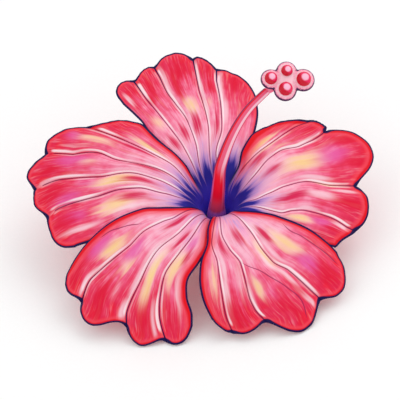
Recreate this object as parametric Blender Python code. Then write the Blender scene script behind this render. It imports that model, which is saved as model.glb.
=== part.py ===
"""Hibiscus flower, picked with a short stalk and lying face up on a flat surface.

The flower is modelled about its own axis, which is vertical here: the throat opens
upwards, bearings run counter-clockwise from +X seen from above, and a distance on a
petal is measured along the petal from the bottom of the throat.  A parent empty then
leans the whole flower forwards until it rests on two petal tips and the cut stalk.
Lengths are in millimetres and angles in degrees until a mesh is made, in metres.
"""

import math
from dataclasses import dataclass

import bpy
import numpy as np
from mathutils import Euler, Vector

MM = 0.001

# How the flower lies: leaned forwards and rolled until three points touch the surface.
LEAN = 15.7
ROLL = 5.8
ROOT_PLACE = (7.21, -5.73, 28.44)

# The common surface that all five petals follow, from the throat out to the rim.
THROAT_RADIUS = 4.5
THROAT_FLOOR = -21.0
FRONT_BEARING = 270.0
WALL_SLOPE = (72.0, 79.0)
LIP_DISTANCE = (34.0, 25.0)
LIP_SHARPNESS = (1.7, 3.0)
DROOP_ANGLE = (14.0, 44.0)
DROOP_FULL = 75.0
DROOP_POWER = 1.1
LONGEST_PETAL = 92.0
TABLE_STEP = 0.5
BEARING_STEP = 3.0

# Petal sheet.
PETAL_THICKNESS = 0.6
LAYER_RISE = 1.3
LAYER_START, LAYER_FULL = 6.0, 12.0
PUFF_START, PUFF_FULL = 18.0, 52.0
PUFF_ROUNDNESS = 0.8
SIDE_EASE = 1.5
RIPPLE_HEIGHT = 0.8
RIPPLE_START, RIPPLE_FULL = 25.0, 70.0
RIM_STEPS = (0.0, 0.1, 0.3, 0.5, 0.7, 0.9, 1.0)
PETAL_ROWS = (0.0, 0.07, 0.14, 0.21, 0.28, 0.35, 0.43, 0.51, 0.60, 0.69, 0.78, 0.87, 0.94, 1.0)

# Staminal column, with the ovary in its hollow foot.
COLUMN_ROUTE = (
    (0.0, 0.0, -21.2), (0.0, 0.0, -14.0), (0.5, 1.0, -1.0), (1.0, 3.0, 10.5), (3.2, 6.3, 19.8),
    (6.4, 10.8, 26.5), (11.0, 16.2, 31.4), (16.2, 21.0, 33.8), (18.4, 22.6, 35.0),
)
COLUMN_PROFILE = (
    (6.6, 0.7), (5.6, 1.8), (3.5, 2.3), (0.0, 2.3), (0.0, 3.75), (3.6, 3.65), (7.0, 3.4),
    (10.0, 3.1), (13.0, 2.8), (20.0, 2.55), (30.0, 2.3), (40.0, 2.05), (50.0, 1.8), (58.0, 1.6),
    (64.0, 1.5), (70.0, 1.45),
)
COLUMN_TIP = ((0.0, 1.45), (0.55, 1.3), (0.9, 0.9))
COLUMN_SIDES = 20
OVARY_BASE = -21.2
OVARY_PROFILE = ((0.0, 1.1), (0.6, 1.6), (1.8, 1.8), (3.2, 1.6), (4.4, 1.1), (5.2, 0.5))

# Style head: four round pads that merge into a clover, each carrying one stigma.
HEAD_CENTRE = (25.0, 23.8, 39.4)
HEAD_FACING = (0.05, -0.35, 0.94)
NECK_RADIUS = 1.3
NECK_GAP = 0.7
HUB_RADIUS = 3.4
PAD_HALF_THICKNESS = 1.4
PAD_PROFILE = ((-1.0, 0.45), (-0.75, 0.8), (-0.25, 0.98), (0.3, 0.98), (0.75, 0.84), (1.0, 0.55))
STIGMA_GAP = 0.32
HEAD_SIDES = 20

# Calyx, bracts and stalk behind the petals.
CALYX_CLEARANCE = 0.5
CALYX_THICKNESS = 0.75
CALYX_CUP = 9.0
SEPAL_LENGTH = 12.5
SEPAL_FIRST = 60.0
SEPALS = 5
SEPAL_COLUMNS = 10
CALYX_FLOOR = (-23.35, -24.15)
CALYX_HOLE = 2.05
RECEPTACLE_TOP = -21.6
RECEPTACLE_RADIUS = 4.9
RECEPTACLE_UNDERSIDE = -22.9
NECK_THROUGH = 1.6
BRACTS = 7
BRACT_FIRST = 12.0
BRACT_ROUTE = ((2.75, -24.75), (5.2, -24.9), (7.6, -23.6), (9.4, -20.8), (10.6, -17.4), (12.2, -13.6))
BRACT_HALF_WIDTHS = (0.75, 0.85, 0.95, 0.9, 0.65, 0.12)
BRACT_HALF_THICKNESS = 0.28
STALK_ROUTE = (
    (0.0, 0.0, -24.5), (0.0, 0.3, -25.8), (-1.0, 2.6, -27.9), (-2.6, 7.0, -29.9), (-5.0, 13.0, -31.9),
)
STALK_RADII = (1.7, 2.25, 2.0, 1.8, 1.9)
STALK_SIDES = 16
STALK_RINGS = 9


@dataclass(frozen=True)
class PetalPlan:
    """One petal as its folds, from the claw outwards, and the rim between them.

    folds: lines of (distance, bearing) points; the first and last are the side edges.
    reach: for each lobe between two folds, the rim's distance at the rim steps across it.
    puff:  how far each lobe swells above its folds.
    over:  whether the first and the last side lie over the neighbouring petal.
    """

    name: str
    colour: tuple
    folds: tuple
    reach: tuple
    puff: tuple
    over: tuple


PETALS = (
    PetalPlan(
        "petal_top", (0.87, 0.17, 0.32),
        folds=(
            ((0, 54.4), (10, 54), (15, 51), (22, 52), (37, 60), (45, 64.5), (49, 67.5)),
            ((0, 72), (24, 91), (34, 86), (42, 87), (57, 90)),
            ((0, 90), (22, 99), (36, 96.5), (52, 98.5)),
            ((0, 104), (19, 117), (30, 111), (40, 110), (50, 112), (57, 113), (66, 112.5)),
            ((0, 117), (16, 127), (24, 125), (36, 123), (54, 123), (67, 122)),
            ((0, 131.6), (10, 132), (18, 138), (45, 135), (51, 133), (64, 132)),
        ),
        reach=(
            (49.5, 52, 56.5, 60, 61.5, 63, 63.5), (63.5, 64, 65.5, 67.5, 69, 70, 70),
            (70, 71.5, 73.5, 74.5, 74.5, 73, 73), (73, 73, 72.5, 72, 70.5, 69.5, 70.5),
            (70.5, 71, 71.5, 71.5, 70.5, 67.5, 62),
        ),
        puff=(0.6, 1.6, 2.0, 1.5, 0.8), over=(False, False),
    ),
    PetalPlan(
        "petal_right", (0.85, 0.15, 0.34),
        folds=(
            ((0, -33.6), (10, -34.5), (18, -45), (26, -36), (34, -31), (45, -30), (58, -25)),
            ((0, -16), (20, -24), (34, -21), (38, -16), (43, -13), (52, -12.5), (60, -14)),
            ((0, 0), (22, -12), (28, -4), (34, 3.5), (42, 6.5), (52, 4), (61, 4.5)),
            ((0, 20), (17, 21), (24, 26), (32, 33.5), (37, 34.5), (45, 31), (50, 31), (59, 33)),
            ((0, 36), (20, 48), (27, 46), (36, 44), (48, 43), (55, 41)),
            ((0, 49.6), (9, 52), (14, 58), (21, 56), (28, 61.5), (34, 61), (40, 56.5)),
        ),
        reach=(
            (58.5, 59, 59.5, 60.5, 62, 63.5, 64), (64, 65, 66.5, 66.5, 66, 64, 62),
            (62, 63.5, 69.5, 72, 69.5, 63.5, 58), (58, 59, 58.5, 58, 57.5, 57, 57),
            (57, 54.5, 50, 47, 44, 41, 40),
        ),
        puff=(0.6, 1.5, 2.0, 1.2, 1.2), over=(False, True),
    ),
    PetalPlan(
        "petal_left", (0.88, 0.19, 0.36),
        folds=(
            ((0, 136.4), (14, 140), (20, 137.5), (25, 135), (38, 136), (48, 134.5), (52, 136.5)),
            ((0, 148), (17, 156), (22, 151.5), (29, 148), (66, 149)),
            ((0, 161), (20, 166), (25, 161.5), (33, 159), (48, 161), (56, 159.5), (66, 162)),
            ((0, 174), (18, 179.5), (24, 175), (32, 169), (40, 167), (54, 171), (70, 171.5), (82, 173.5)),
            ((0, 187), (22, 188), (28, 184), (38, 177.5), (45, 178), (54, 180.5), (70, 182), (76, 184)),
            ((0, 199.6), (10, 201), (18, 213), (24, 209), (32, 203), (42, 201), (55, 201.5), (66, 199.5)),
        ),
        reach=(
            (52, 54, 56.5, 58.5, 61, 64, 67), (67, 68.5, 73, 76, 78.5, 79, 79),
            (79, 78, 80.5, 83.5, 84.5, 82.5, 82), (82, 81.5, 81, 81, 79.5, 77, 76.5),
            (76.5, 76, 75.5, 75, 74, 71, 67),
        ),
        puff=(1.2, 1.8, 2.0, 1.6, 0.5), over=(True, False),
    ),
    PetalPlan(
        "petal_lower_left", (0.86, 0.16, 0.33),
        folds=(
            ((0, 204.4), (10, 207), (16, 211), (23, 208.5), (30, 200.5), (38, 195.5), (45, 196), (60, 200.5),
             (74, 206.5)),
            ((0, 217), (28, 216.5), (33, 213.5), (40, 212), (49, 214.5), (66, 214.5), (75, 218)),
            ((0, 234), (30, 231.5), (41, 228), (55, 231.5), (66, 233.5), (71, 236)),
            ((0, 248), (28, 244), (38, 241), (46, 239.5), (54, 242), (62, 245.5), (70, 251)),
            ((0, 259.6), (10, 260), (18, 262), (31, 262), (38, 257.5), (46, 253), (52, 255), (58, 259),
             (63, 260)),
        ),
        reach=(
            (74, 75, 76.5, 77, 76, 75, 75.5), (75.5, 77, 78.5, 77.5, 73, 70.5, 71.5),
            (71.5, 72.5, 74.5, 75, 72.5, 70, 70.5), (70.5, 70.5, 70.5, 70, 69, 66.5, 62),
        ),
        puff=(1.5, 2.0, 1.8, 0.7), over=(True, False),
    ),
    PetalPlan(
        "petal_lower_right", (0.87, 0.17, 0.31),
        folds=(
            ((0, 264.4), (12, 262), (18, 257), (24, 257), (31, 260), (38, 258), (44, 259), (51, 262),
             (59, 267.5)),
            ((0, 274), (30, 264.5), (38, 270), (48, 272), (57, 273.5), (64, 276)),
            ((0, 286), (26, 275), (33, 280), (40, 286), (52, 285.5), (57, 286.5), (63, 290)),
            ((0, 305), (29, 305.5), (38, 304), (44, 305), (50, 309.5), (64, 313)),
            ((0, 321.6), (12, 320), (20, 319), (24, 324.5), (28, 330.5), (33, 334), (45, 336), (54, 334.5),
             (61, 332.5)),
        ),
        reach=(
            (59, 59.5, 61, 62, 63.5, 64, 64.5), (64.5, 64.5, 65, 64.5, 63.5, 62.5, 63),
            (63, 64.5, 69, 71, 70, 66.5, 66), (66, 66.5, 69, 69, 66.5, 63, 59.5),
        ),
        puff=(1.0, 1.5, 2.2, 1.5), over=(True, True),
    ),
)

# Name, offset to the right and to the back of the head's centre, pad radius, stigma radius.
HEAD_PADS = (
    ("left", -5.8, 0.4, 3.5, 2.35),
    ("top", 0.0, 3.3, 3.6, 2.1),
    ("right", 6.1, 0.2, 4.0, 2.55),
    ("bottom", -0.5, -3.5, 4.0, 2.55),
)


def clear_scene():
    """Remove every object, so that only the flower is left."""
    for thing in list(bpy.data.objects):
        bpy.data.objects.remove(thing, do_unlink=True)


def smooth_step(values, start, end):
    """Ease from 0 at start to 1 at end."""
    t = np.clip((np.asarray(values, float) - start) / (end - start), 0.0, 1.0)
    return t * t * (3.0 - 2.0 * t)


def smooth_curve(knots, heights, at):
    """Cubic through the knots that never overshoots them, held level outside them."""
    knots, heights = np.asarray(knots, float), np.asarray(heights, float)
    at = np.clip(np.asarray(at, float), knots[0], knots[-1])
    steps = np.diff(knots)
    slopes = np.diff(heights) / steps
    tangents = np.empty_like(heights)
    tangents[0], tangents[-1] = slopes[0], slopes[-1]
    for i in range(1, len(knots) - 1):
        before, after = slopes[i - 1], slopes[i]
        same_way = before * after > 0.0
        tangents[i] = 2.0 * before * after / (before + after) if same_way else 0.0
    cell = np.clip(np.searchsorted(knots, at, side="right") - 1, 0, len(steps) - 1)
    t = (at - knots[cell]) / steps[cell]
    rise = (1.0 + 2.0 * t) * (1.0 - t) ** 2 * heights[cell] + t * t * (3.0 - 2.0 * t) * heights[cell + 1]
    bend = t * (1.0 - t) ** 2 * tangents[cell] - t * t * (1.0 - t) * tangents[cell + 1]
    return rise + bend * steps[cell]


def between(ends, weight):
    """Blend from the value at the back of the flower to the value at its front."""
    return ends[0] + (ends[1] - ends[0]) * weight


def petal_slope(bearing, distance):
    """Angle above level, in radians, of the petals' common surface."""
    front = 0.5 * (1.0 + np.cos(np.radians(bearing - FRONT_BEARING)))
    lip = between(LIP_DISTANCE, front)
    flare = np.clip(distance / lip, 0.0, 1.0) ** between(LIP_SHARPNESS, front)
    wall = between(WALL_SLOPE, front) * (1.0 - flare)
    beyond = np.clip(distance - lip, 0.0, None) / (DROOP_FULL - lip)
    return np.radians(np.where(distance < lip, wall, -between(DROOP_ANGLE, front) * beyond ** DROOP_POWER))


def surface_table():
    """Radius and height of the common surface on a grid of bearings and distances."""
    bearings = np.arange(0.0, 360.0, BEARING_STEP)
    distances = np.arange(0.0, LONGEST_PETAL + TABLE_STEP, TABLE_STEP)
    middles = 0.5 * (distances[1:] + distances[:-1])
    slopes = petal_slope(bearings[:, None], middles[None, :])
    first = np.zeros((len(bearings), 1))
    radii = THROAT_RADIUS + np.hstack([first, np.cumsum(np.cos(slopes) * TABLE_STEP, axis=1)])
    heights = THROAT_FLOOR + np.hstack([first, np.cumsum(np.sin(slopes) * TABLE_STEP, axis=1)])
    return radii, heights


SURFACE_RADII, SURFACE_HEIGHTS = surface_table()


def read_table(table, bearing, distance):
    """Read a surface table between its grid points."""
    across = np.mod(bearing, 360.0) / BEARING_STEP
    along = np.clip(distance / TABLE_STEP, 0.0, table.shape[1] - 1.001)
    i, j = np.floor(across).astype(int), np.floor(along).astype(int)
    u, v = across - i, along - j
    i, i_next = i % table.shape[0], (i + 1) % table.shape[0]
    near = table[i, j] * (1 - u) + table[i_next, j] * u
    far = table[i, j + 1] * (1 - u) + table[i_next, j + 1] * u
    return near * (1 - v) + far * v


def surface_points(bearing, distance, lift):
    """Points at a height of lift above the common surface, measured square to it."""
    bearing, distance, lift = np.broadcast_arrays(bearing, distance, lift)
    slope = petal_slope(bearing, distance)
    radius = read_table(SURFACE_RADII, bearing, distance) - lift * np.sin(slope)
    height = read_table(SURFACE_HEIGHTS, bearing, distance) + lift * np.cos(slope)
    angle = np.radians(bearing)
    return np.stack([radius * np.cos(angle), radius * np.sin(angle), height], axis=-1)


def ripple(bearing, distance):
    """Gentle waves that all the petals share, growing towards the rim."""
    angle = np.radians(bearing)
    wave = np.sin(5.0 * angle + 0.6) + 0.6 * np.sin(11.0 * angle + 2.0)
    return RIPPLE_HEIGHT * wave * smooth_step(distance, RIPPLE_START, RIPPLE_FULL)


def petal_grid(plan):
    """Bearing, distance and lift of each point of a petal's upper face."""
    rows = np.asarray(PETAL_ROWS)
    last = len(plan.reach) - 1
    bearings, distances, lifts = [], [], []
    for lobe, reach in enumerate(plan.reach):
        low_fold, high_fold = np.asarray(plan.folds[lobe], float), np.asarray(plan.folds[lobe + 1], float)
        for across in RIM_STEPS if lobe == last else RIM_STEPS[:-1]:
            rim = smooth_curve(RIM_STEPS, reach, across)
            distance = rows * rim
            low = smooth_curve(low_fold[:, 0], low_fold[:, 1], distance)
            high = smooth_curve(high_fold[:, 0], high_fold[:, 1], distance)
            bearing = low + (high - low) * across
            rounding = across ** SIDE_EASE if lobe == 0 else across
            rounding = 1.0 - (1.0 - across) ** SIDE_EASE if lobe == last else rounding
            swell = (4.0 * rounding * (1.0 - rounding)) ** PUFF_ROUNDNESS
            lift = plan.puff[lobe] * swell * smooth_step(distance, PUFF_START, PUFF_FULL)
            bearings.append(bearing)
            distances.append(distance)
            lifts.append(lift)
    bearing, distance, lift = np.array(bearings), np.array(distances), np.array(lifts)
    share = (bearing - bearing[0]) / (bearing[-1] - bearing[0])
    towards_last = smooth_step(share, 0.15, 0.85)
    over = plan.over[0] * (1.0 - towards_last) + plan.over[1] * towards_last
    layer = LAYER_RISE * np.clip(over, 0.0, 1.0) * smooth_step(distance, LAYER_START, LAYER_FULL)
    return bearing, distance, lift + layer + ripple(bearing, distance)


def new_material(name, colour, roughness):
    """A plain shaded colour for one sub-part."""
    material = bpy.data.materials.new(name)
    material.use_nodes = True
    shader = material.node_tree.nodes["Principled BSDF"]
    shader.inputs["Base Color"].default_value = (*colour, 1.0)
    shader.inputs["Roughness"].default_value = roughness
    shader.inputs["Metallic"].default_value = 0.0
    return material


def signed_volume(points, faces):
    """Volume enclosed by the faces, negative if they point inwards."""
    total = 0.0
    for face in faces:
        corner = points[face[0]]
        for second, third in zip(face[1:-1], face[2:]):
            total += float(np.dot(corner, np.cross(points[second], points[third])))
    return total / 6.0


def add_solid(name, points, faces, material, root):
    """Make one closed piece from points in millimetres, with its faces pointing out."""
    points = np.asarray(points, float).reshape(-1, 3)
    if signed_volume(points, faces) < 0.0:
        faces = [tuple(reversed(face)) for face in faces]
    mesh = bpy.data.meshes.new(name)
    mesh.from_pydata((points * MM).tolist(), [], faces)
    mesh.materials.append(material)
    mesh.shade_smooth()
    mesh.set_sharp_from_angle(angle=math.radians(50.0))
    piece = bpy.data.objects.new(name, mesh)
    bpy.context.scene.collection.objects.link(piece)
    piece.parent = root
    return piece


def sheet_faces(columns, rows):
    """Faces of a closed sheet: an upper grid, a lower grid and the wall round them."""
    half = columns * rows

    def at(column, row, side):
        return side * half + column * rows + row

    faces = []
    for c in range(columns - 1):
        for r in range(rows - 1):
            faces.append((at(c, r, 0), at(c + 1, r, 0), at(c + 1, r + 1, 0), at(c, r + 1, 0)))
            faces.append((at(c, r, 1), at(c, r + 1, 1), at(c + 1, r + 1, 1), at(c + 1, r, 1)))
    border = [(c, 0) for c in range(columns)] + [(columns - 1, r) for r in range(1, rows)]
    border += [(c, rows - 1) for c in range(columns - 2, -1, -1)] + [(0, r) for r in range(rows - 2, 0, -1)]
    for first, second in zip(border, border[1:] + border[:1]):
        faces.append((at(*second, 0), at(*first, 0), at(*first, 1), at(*second, 1)))
    return faces


def ring_faces(rings, sides):
    """Faces of a stack of rings, closed by a flat face at each end."""
    faces = [tuple(reversed(range(sides))), tuple(range((rings - 1) * sides, rings * sides))]
    for ring in range(rings - 1):
        for side in range(sides):
            after = (side + 1) % sides
            low, high = ring * sides, (ring + 1) * sides
            faces.append((low + side, low + after, high + after, high + side))
    return faces


def route_frames(route):
    """Direction and two square directions at each point of a route, without twist."""
    route = np.asarray(route, float)
    tangents = np.gradient(route, axis=0)
    tangents /= np.linalg.norm(tangents, axis=1)[:, None]
    side = np.array([1.0, 0.0, 0.0])
    sides, ups = [], []
    for tangent in tangents:
        side = side - tangent * np.dot(side, tangent)
        side /= np.linalg.norm(side)
        sides.append(side)
        ups.append(np.cross(tangent, side))
    return tangents, np.array(sides), np.array(ups)


def along_route(route, count):
    """Points at equal steps along the smooth curve through a route's points."""
    route = np.asarray(route, float)
    walked = np.concatenate([[0.0], np.cumsum(np.linalg.norm(np.diff(route, axis=0), axis=1))])
    at = np.linspace(0.0, walked[-1], count)
    return np.stack([smooth_curve(walked, route[:, axis], at) for axis in range(3)], axis=-1)


def turned_about(route, profile, sides):
    """Rings along a route; the profile holds (distance along the route, radius)."""
    fine = along_route(route, 200)
    walked = np.concatenate([[0.0], np.cumsum(np.linalg.norm(np.diff(fine, axis=0), axis=1))])
    _, side_ways, up_ways = route_frames(fine)
    turns = 2.0 * np.pi * np.arange(sides) / sides
    points = []
    for distance, radius in profile:
        place = [np.array([np.interp(distance, walked, field[:, axis]) for axis in range(3)])
                 for field in (fine, side_ways, up_ways)]
        ring = radius * (np.cos(turns)[:, None] * place[1] + np.sin(turns)[:, None] * place[2])
        points.append(place[0] + ring)
    return np.concatenate(points)


def turned_piece(name, base, axis, profile, sides, material, root):
    """A solid turned about a straight axis from (height, radius) steps."""
    base, axis = np.asarray(base, float), np.asarray(axis, float)
    axis = axis / np.linalg.norm(axis)
    across = np.cross(axis, [0.0, 1.0, 0.0])
    across /= np.linalg.norm(across)
    other = np.cross(axis, across)
    turns = 2.0 * np.pi * np.arange(sides) / sides
    circle = np.cos(turns)[:, None] * across + np.sin(turns)[:, None] * other
    rings = [base + height * axis + radius * circle for height, radius in profile]
    return add_solid(name, np.concatenate(rings), ring_faces(len(profile), sides), material, root)


def make_petal(plan, root):
    """One petal: a pleated sheet of even thickness."""
    bearing, distance, lift = petal_grid(plan)
    upper = surface_points(bearing, distance, lift)
    lower = surface_points(bearing, distance, lift - PETAL_THICKNESS)
    points = np.concatenate([upper.reshape(-1, 3), lower.reshape(-1, 3)])
    material = new_material(plan.name, plan.colour, 0.45)
    return add_solid(plan.name, points, sheet_faces(*bearing.shape), material, root)


def make_column(root):
    """The tube that carries the style, flared at its hollow foot."""
    fine = along_route(COLUMN_ROUTE, 200)
    length = np.linalg.norm(np.diff(fine, axis=0), axis=1).sum()
    tip_start = length - COLUMN_TIP[-1][0]
    profile = [step for step in COLUMN_PROFILE if step[0] < tip_start - 1.0]
    profile += [(tip_start + forward, radius) for forward, radius in COLUMN_TIP]
    points = turned_about(COLUMN_ROUTE, profile, COLUMN_SIDES)
    material = new_material("staminal_column", (0.72, 0.05, 0.18), 0.35)
    return add_solid("staminal_column", points, ring_faces(len(profile), COLUMN_SIDES), material, root)


def make_ovary(root):
    """The seed case on the receptacle, inside the column's foot."""
    material = new_material("ovary", (0.72, 0.82, 0.45), 0.5)
    return turned_piece("ovary", (0.0, 0.0, OVARY_BASE), (0.0, 0.0, 1.0), OVARY_PROFILE, 14, material, root)


def head_directions():
    """The style head's right, back and outward directions."""
    out = np.asarray(HEAD_FACING) / np.linalg.norm(HEAD_FACING)
    right = np.array([1.0, 0.0, 0.0]) - out * out[0]
    right /= np.linalg.norm(right)
    return right, np.cross(out, right), out


def join_to(target, piece):
    """Unite a piece with the target through a modifier, and leave the piece as a guide."""
    piece.hide_render = True
    piece.display_type = "WIRE"
    union = target.modifiers.new(piece.name, "BOOLEAN")
    union.operation = "UNION"
    union.solver = "EXACT"
    union.object = piece


def make_style_head(root):
    """The end of the style: a neck that widens into a clover of four round pads."""
    right, back, out = head_directions()
    centre = np.asarray(HEAD_CENTRE)
    material = new_material("style_head", (0.93, 0.55, 0.66), 0.35)
    column_end = np.asarray(COLUMN_ROUTE[-1])
    towards = centre - column_end
    reach = np.linalg.norm(towards)
    neck = ((NECK_GAP, 0.8), (NECK_GAP + 0.5, NECK_RADIUS), (reach - 0.8, NECK_RADIUS + 0.1), (reach, 1.0))
    head = turned_piece("style_head", column_end, towards, neck, 14, material, root)
    hub = [(PAD_HALF_THICKNESS * height, HUB_RADIUS * width) for height, width in PAD_PROFILE]
    join_to(head, turned_piece("hub_guide", centre, out, hub, HEAD_SIDES, material, root))
    for name, to_right, to_back, pad_radius, stigma_radius in HEAD_PADS:
        pad_centre = centre + to_right * right + to_back * back
        pad = [(PAD_HALF_THICKNESS * height, pad_radius * width) for height, width in PAD_PROFILE]
        join_to(head, turned_piece(f"pad_guide_{name}", pad_centre, out, pad, HEAD_SIDES, material, root))
        stigma_base = pad_centre + out * (PAD_HALF_THICKNESS + STIGMA_GAP)
        make_stigma(name, stigma_base, out, stigma_radius, root)
    return head


def make_stigma(name, base, facing, radius, root):
    """One stigma: a round dome on its pad."""
    material = new_material(f"stigma_{name}", (0.62, 0.03, 0.10), 0.2)
    dome = [(0.0, radius * 0.86)]
    for step in range(5):
        angle = math.radians(18.0 * step + 6.0)
        dome.append((radius * 0.12 + radius * 0.8 * math.sin(angle), radius * math.cos(angle)))
    return turned_piece(f"stigma_{name}", base, facing, dome, HEAD_SIDES, material, root)


def sepal_reach(bearing):
    """How far up the petals' backs the calyx reaches: five pointed sepals on a cup."""
    share = np.mod(bearing - SEPAL_FIRST, 360.0 / SEPALS) / (360.0 / SEPALS)
    height = 1.0 - np.abs(2.0 * share - 1.0)
    return CALYX_CUP + SEPAL_LENGTH * height ** 0.85


def make_calyx(root):
    """The cup of sepals that holds the petals' claws, with a hole for the receptacle's neck."""
    columns = SEPALS * SEPAL_COLUMNS
    bearing = np.arange(columns) * 360.0 / columns + SEPAL_FIRST
    reach = sepal_reach(bearing)
    inner_lift = -(PETAL_THICKNESS + CALYX_CLEARANCE)
    outer_lift = inner_lift - CALYX_THICKNESS
    shares = (0.1, 0.32, 0.55, 0.78, 1.0)
    inner = [surface_points(bearing, share * reach, inner_lift) for share in shares]
    outer = [surface_points(bearing, share * reach, outer_lift + 0.25 * share) for share in reversed(shares)]
    angle = np.radians(bearing)

    def level_ring(radius, height):
        return np.stack([radius * np.cos(angle), radius * np.sin(angle), np.full(columns, height)], axis=-1)

    inside_floor, underside = CALYX_FLOOR
    inside_steps = ((CALYX_HOLE, 0.0), (5.3, 0.0), (5.7, 0.7))
    outside_steps = ((6.6, 1.0), (5.6, 0.15), (CALYX_HOLE, 0.0))
    rings = [level_ring(radius, inside_floor + rise) for radius, rise in inside_steps]
    rings += inner + outer
    rings += [level_ring(radius, underside + rise) for radius, rise in outside_steps]
    count = len(rings)
    faces = []
    for ring in range(count):
        low, high = ring * columns, ((ring + 1) % count) * columns
        for side in range(columns):
            after = (side + 1) % columns
            faces.append((low + side, low + after, high + after, high + side))
    material = new_material("calyx", (0.35, 0.52, 0.22), 0.55)
    return add_solid("calyx", np.concatenate(rings), faces, material, root)


def make_bracts(root):
    """The ring of narrow bracts below the calyx."""
    material = new_material("epicalyx_bract", (0.30, 0.48, 0.18), 0.55)
    radii = np.array([step[0] for step in BRACT_ROUTE])
    heights = np.array([step[1] for step in BRACT_ROUTE])
    for number in range(BRACTS):
        angle = math.radians(BRACT_FIRST + 360.0 * number / BRACTS)
        outward = np.array([math.cos(angle), math.sin(angle), 0.0])
        sideways = np.array([-math.sin(angle), math.cos(angle), 0.0])
        route = radii[:, None] * outward + heights[:, None] * np.array([0.0, 0.0, 1.0])
        tangents, _, _ = route_frames(route)
        rings = []
        for place, tangent, half_width in zip(route, tangents, BRACT_HALF_WIDTHS):
            normal = np.cross(sideways, tangent)
            thick = min(BRACT_HALF_THICKNESS, half_width)
            rings += [place + half_width * sideways, place + thick * normal,
                      place - half_width * sideways, place - thick * normal]
        add_solid(f"epicalyx_bract_{number + 1}", rings, ring_faces(len(route), 4), material, root)


def make_stalk(root):
    """The stalk, cut short, with its neck through the calyx and the receptacle on top."""
    material = new_material("pedicel", (0.38, 0.48, 0.20), 0.6)
    curve = along_route(STALK_ROUTE, STALK_RINGS)
    steps = np.linspace(0.0, 1.0, STALK_RINGS)
    radii = smooth_curve(np.linspace(0.0, 1.0, len(STALK_RADII)), STALK_RADII, steps)
    tangents, side_ways, up_ways = route_frames(curve)
    turns = 2.0 * np.pi * np.arange(STALK_SIDES) / STALK_SIDES
    circle_x, circle_y = np.cos(turns)[:, None], np.sin(turns)[:, None]
    rings = []
    for step in reversed(range(STALK_RINGS)):
        circle = circle_x * side_ways[step] + circle_y * up_ways[step]
        rings.append(curve[step] + radii[step] * circle)
    edge = RECEPTACLE_RADIUS - 0.3
    neck_steps = (
        (NECK_THROUGH, STALK_ROUTE[0][2] + 0.35), (NECK_THROUGH, RECEPTACLE_UNDERSIDE),
        (edge, RECEPTACLE_UNDERSIDE), (RECEPTACLE_RADIUS, RECEPTACLE_UNDERSIDE + 0.4),
        (RECEPTACLE_RADIUS, RECEPTACLE_TOP - 0.25), (edge, RECEPTACLE_TOP),
    )
    level_circle = np.hstack([circle_x, -circle_y, np.zeros_like(circle_x)])
    for radius, height in neck_steps:
        rings.append(np.array([0.0, 0.0, height]) + radius * level_circle)
    return add_solid("pedicel", np.concatenate(rings), ring_faces(len(rings), STALK_SIDES), material, root)


def main():
    """Build every piece under one empty that leans the flower onto the surface."""
    clear_scene()
    root = bpy.data.objects.new("flower_axis", None)
    bpy.context.scene.collection.objects.link(root)
    root.rotation_euler = Euler((math.radians(LEAN), math.radians(ROLL), 0.0), "YXZ")
    root.location = Vector(ROOT_PLACE) * MM
    for plan in PETALS:
        make_petal(plan, root)
    make_column(root)
    make_ovary(root)
    make_style_head(root)
    make_calyx(root)
    make_bracts(root)
    make_stalk(root)


main()
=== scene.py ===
"""Looks of a picked hibiscus flower that lies face up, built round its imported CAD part.

The flower is shaped about its own axis, as the part is: the throat opens upwards, bearings
run counter-clockwise from +X seen from above, and a distance on a petal is measured along
the petal from the bottom of the throat.  Sizes are in millimetres and angles in degrees
until a mesh is made, and each piece then moves into the frame with the part's own lean.
"""

import logging
import math
from dataclasses import dataclass, field
from enum import Enum

import bpy
import numpy as np
from bpy.types import Material, Node, NodeSocket, NodeTree, Object
from mathutils import Euler, Matrix, Vector
from mathutils.kdtree import KDTree


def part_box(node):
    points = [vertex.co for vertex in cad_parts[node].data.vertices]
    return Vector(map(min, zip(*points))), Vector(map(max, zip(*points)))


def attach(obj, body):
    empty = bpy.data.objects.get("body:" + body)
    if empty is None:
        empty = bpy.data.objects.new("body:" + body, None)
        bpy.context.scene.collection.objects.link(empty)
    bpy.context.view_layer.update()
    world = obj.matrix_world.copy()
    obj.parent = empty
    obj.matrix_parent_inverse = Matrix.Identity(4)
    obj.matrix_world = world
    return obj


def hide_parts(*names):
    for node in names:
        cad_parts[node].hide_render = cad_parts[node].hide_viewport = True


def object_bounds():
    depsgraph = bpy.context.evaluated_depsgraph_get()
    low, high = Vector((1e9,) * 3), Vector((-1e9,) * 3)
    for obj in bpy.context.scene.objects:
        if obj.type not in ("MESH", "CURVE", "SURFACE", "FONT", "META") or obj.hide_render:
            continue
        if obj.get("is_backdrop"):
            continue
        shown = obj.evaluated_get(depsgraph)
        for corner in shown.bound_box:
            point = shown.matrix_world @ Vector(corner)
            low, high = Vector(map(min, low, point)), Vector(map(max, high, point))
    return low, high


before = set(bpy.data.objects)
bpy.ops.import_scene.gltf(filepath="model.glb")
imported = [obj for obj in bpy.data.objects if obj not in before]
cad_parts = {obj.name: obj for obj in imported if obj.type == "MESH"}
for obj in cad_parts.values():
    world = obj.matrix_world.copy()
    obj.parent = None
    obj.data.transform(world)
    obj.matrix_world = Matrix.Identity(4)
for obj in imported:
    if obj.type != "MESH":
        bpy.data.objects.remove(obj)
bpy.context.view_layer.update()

LOG = logging.getLogger("hibiscus")
MM = 0.001
SHARP_EDGE = 55.0


class Pigment(Enum):
    """The colours that lie in patches on the petals' upper faces, in the order they cover: pigments, and pale
    patches of painted highlight.
    """

    GOLD = "gold"
    ORCHID = "orchid"
    PALE = "pale"
    CRIMSON = "crimson"
    RED = "red"


class ShineSide(Enum):
    """Which side of a fold catches the light: the side of lower or of higher bearing."""

    LOWER = "lower"
    HIGHER = "higher"


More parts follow.
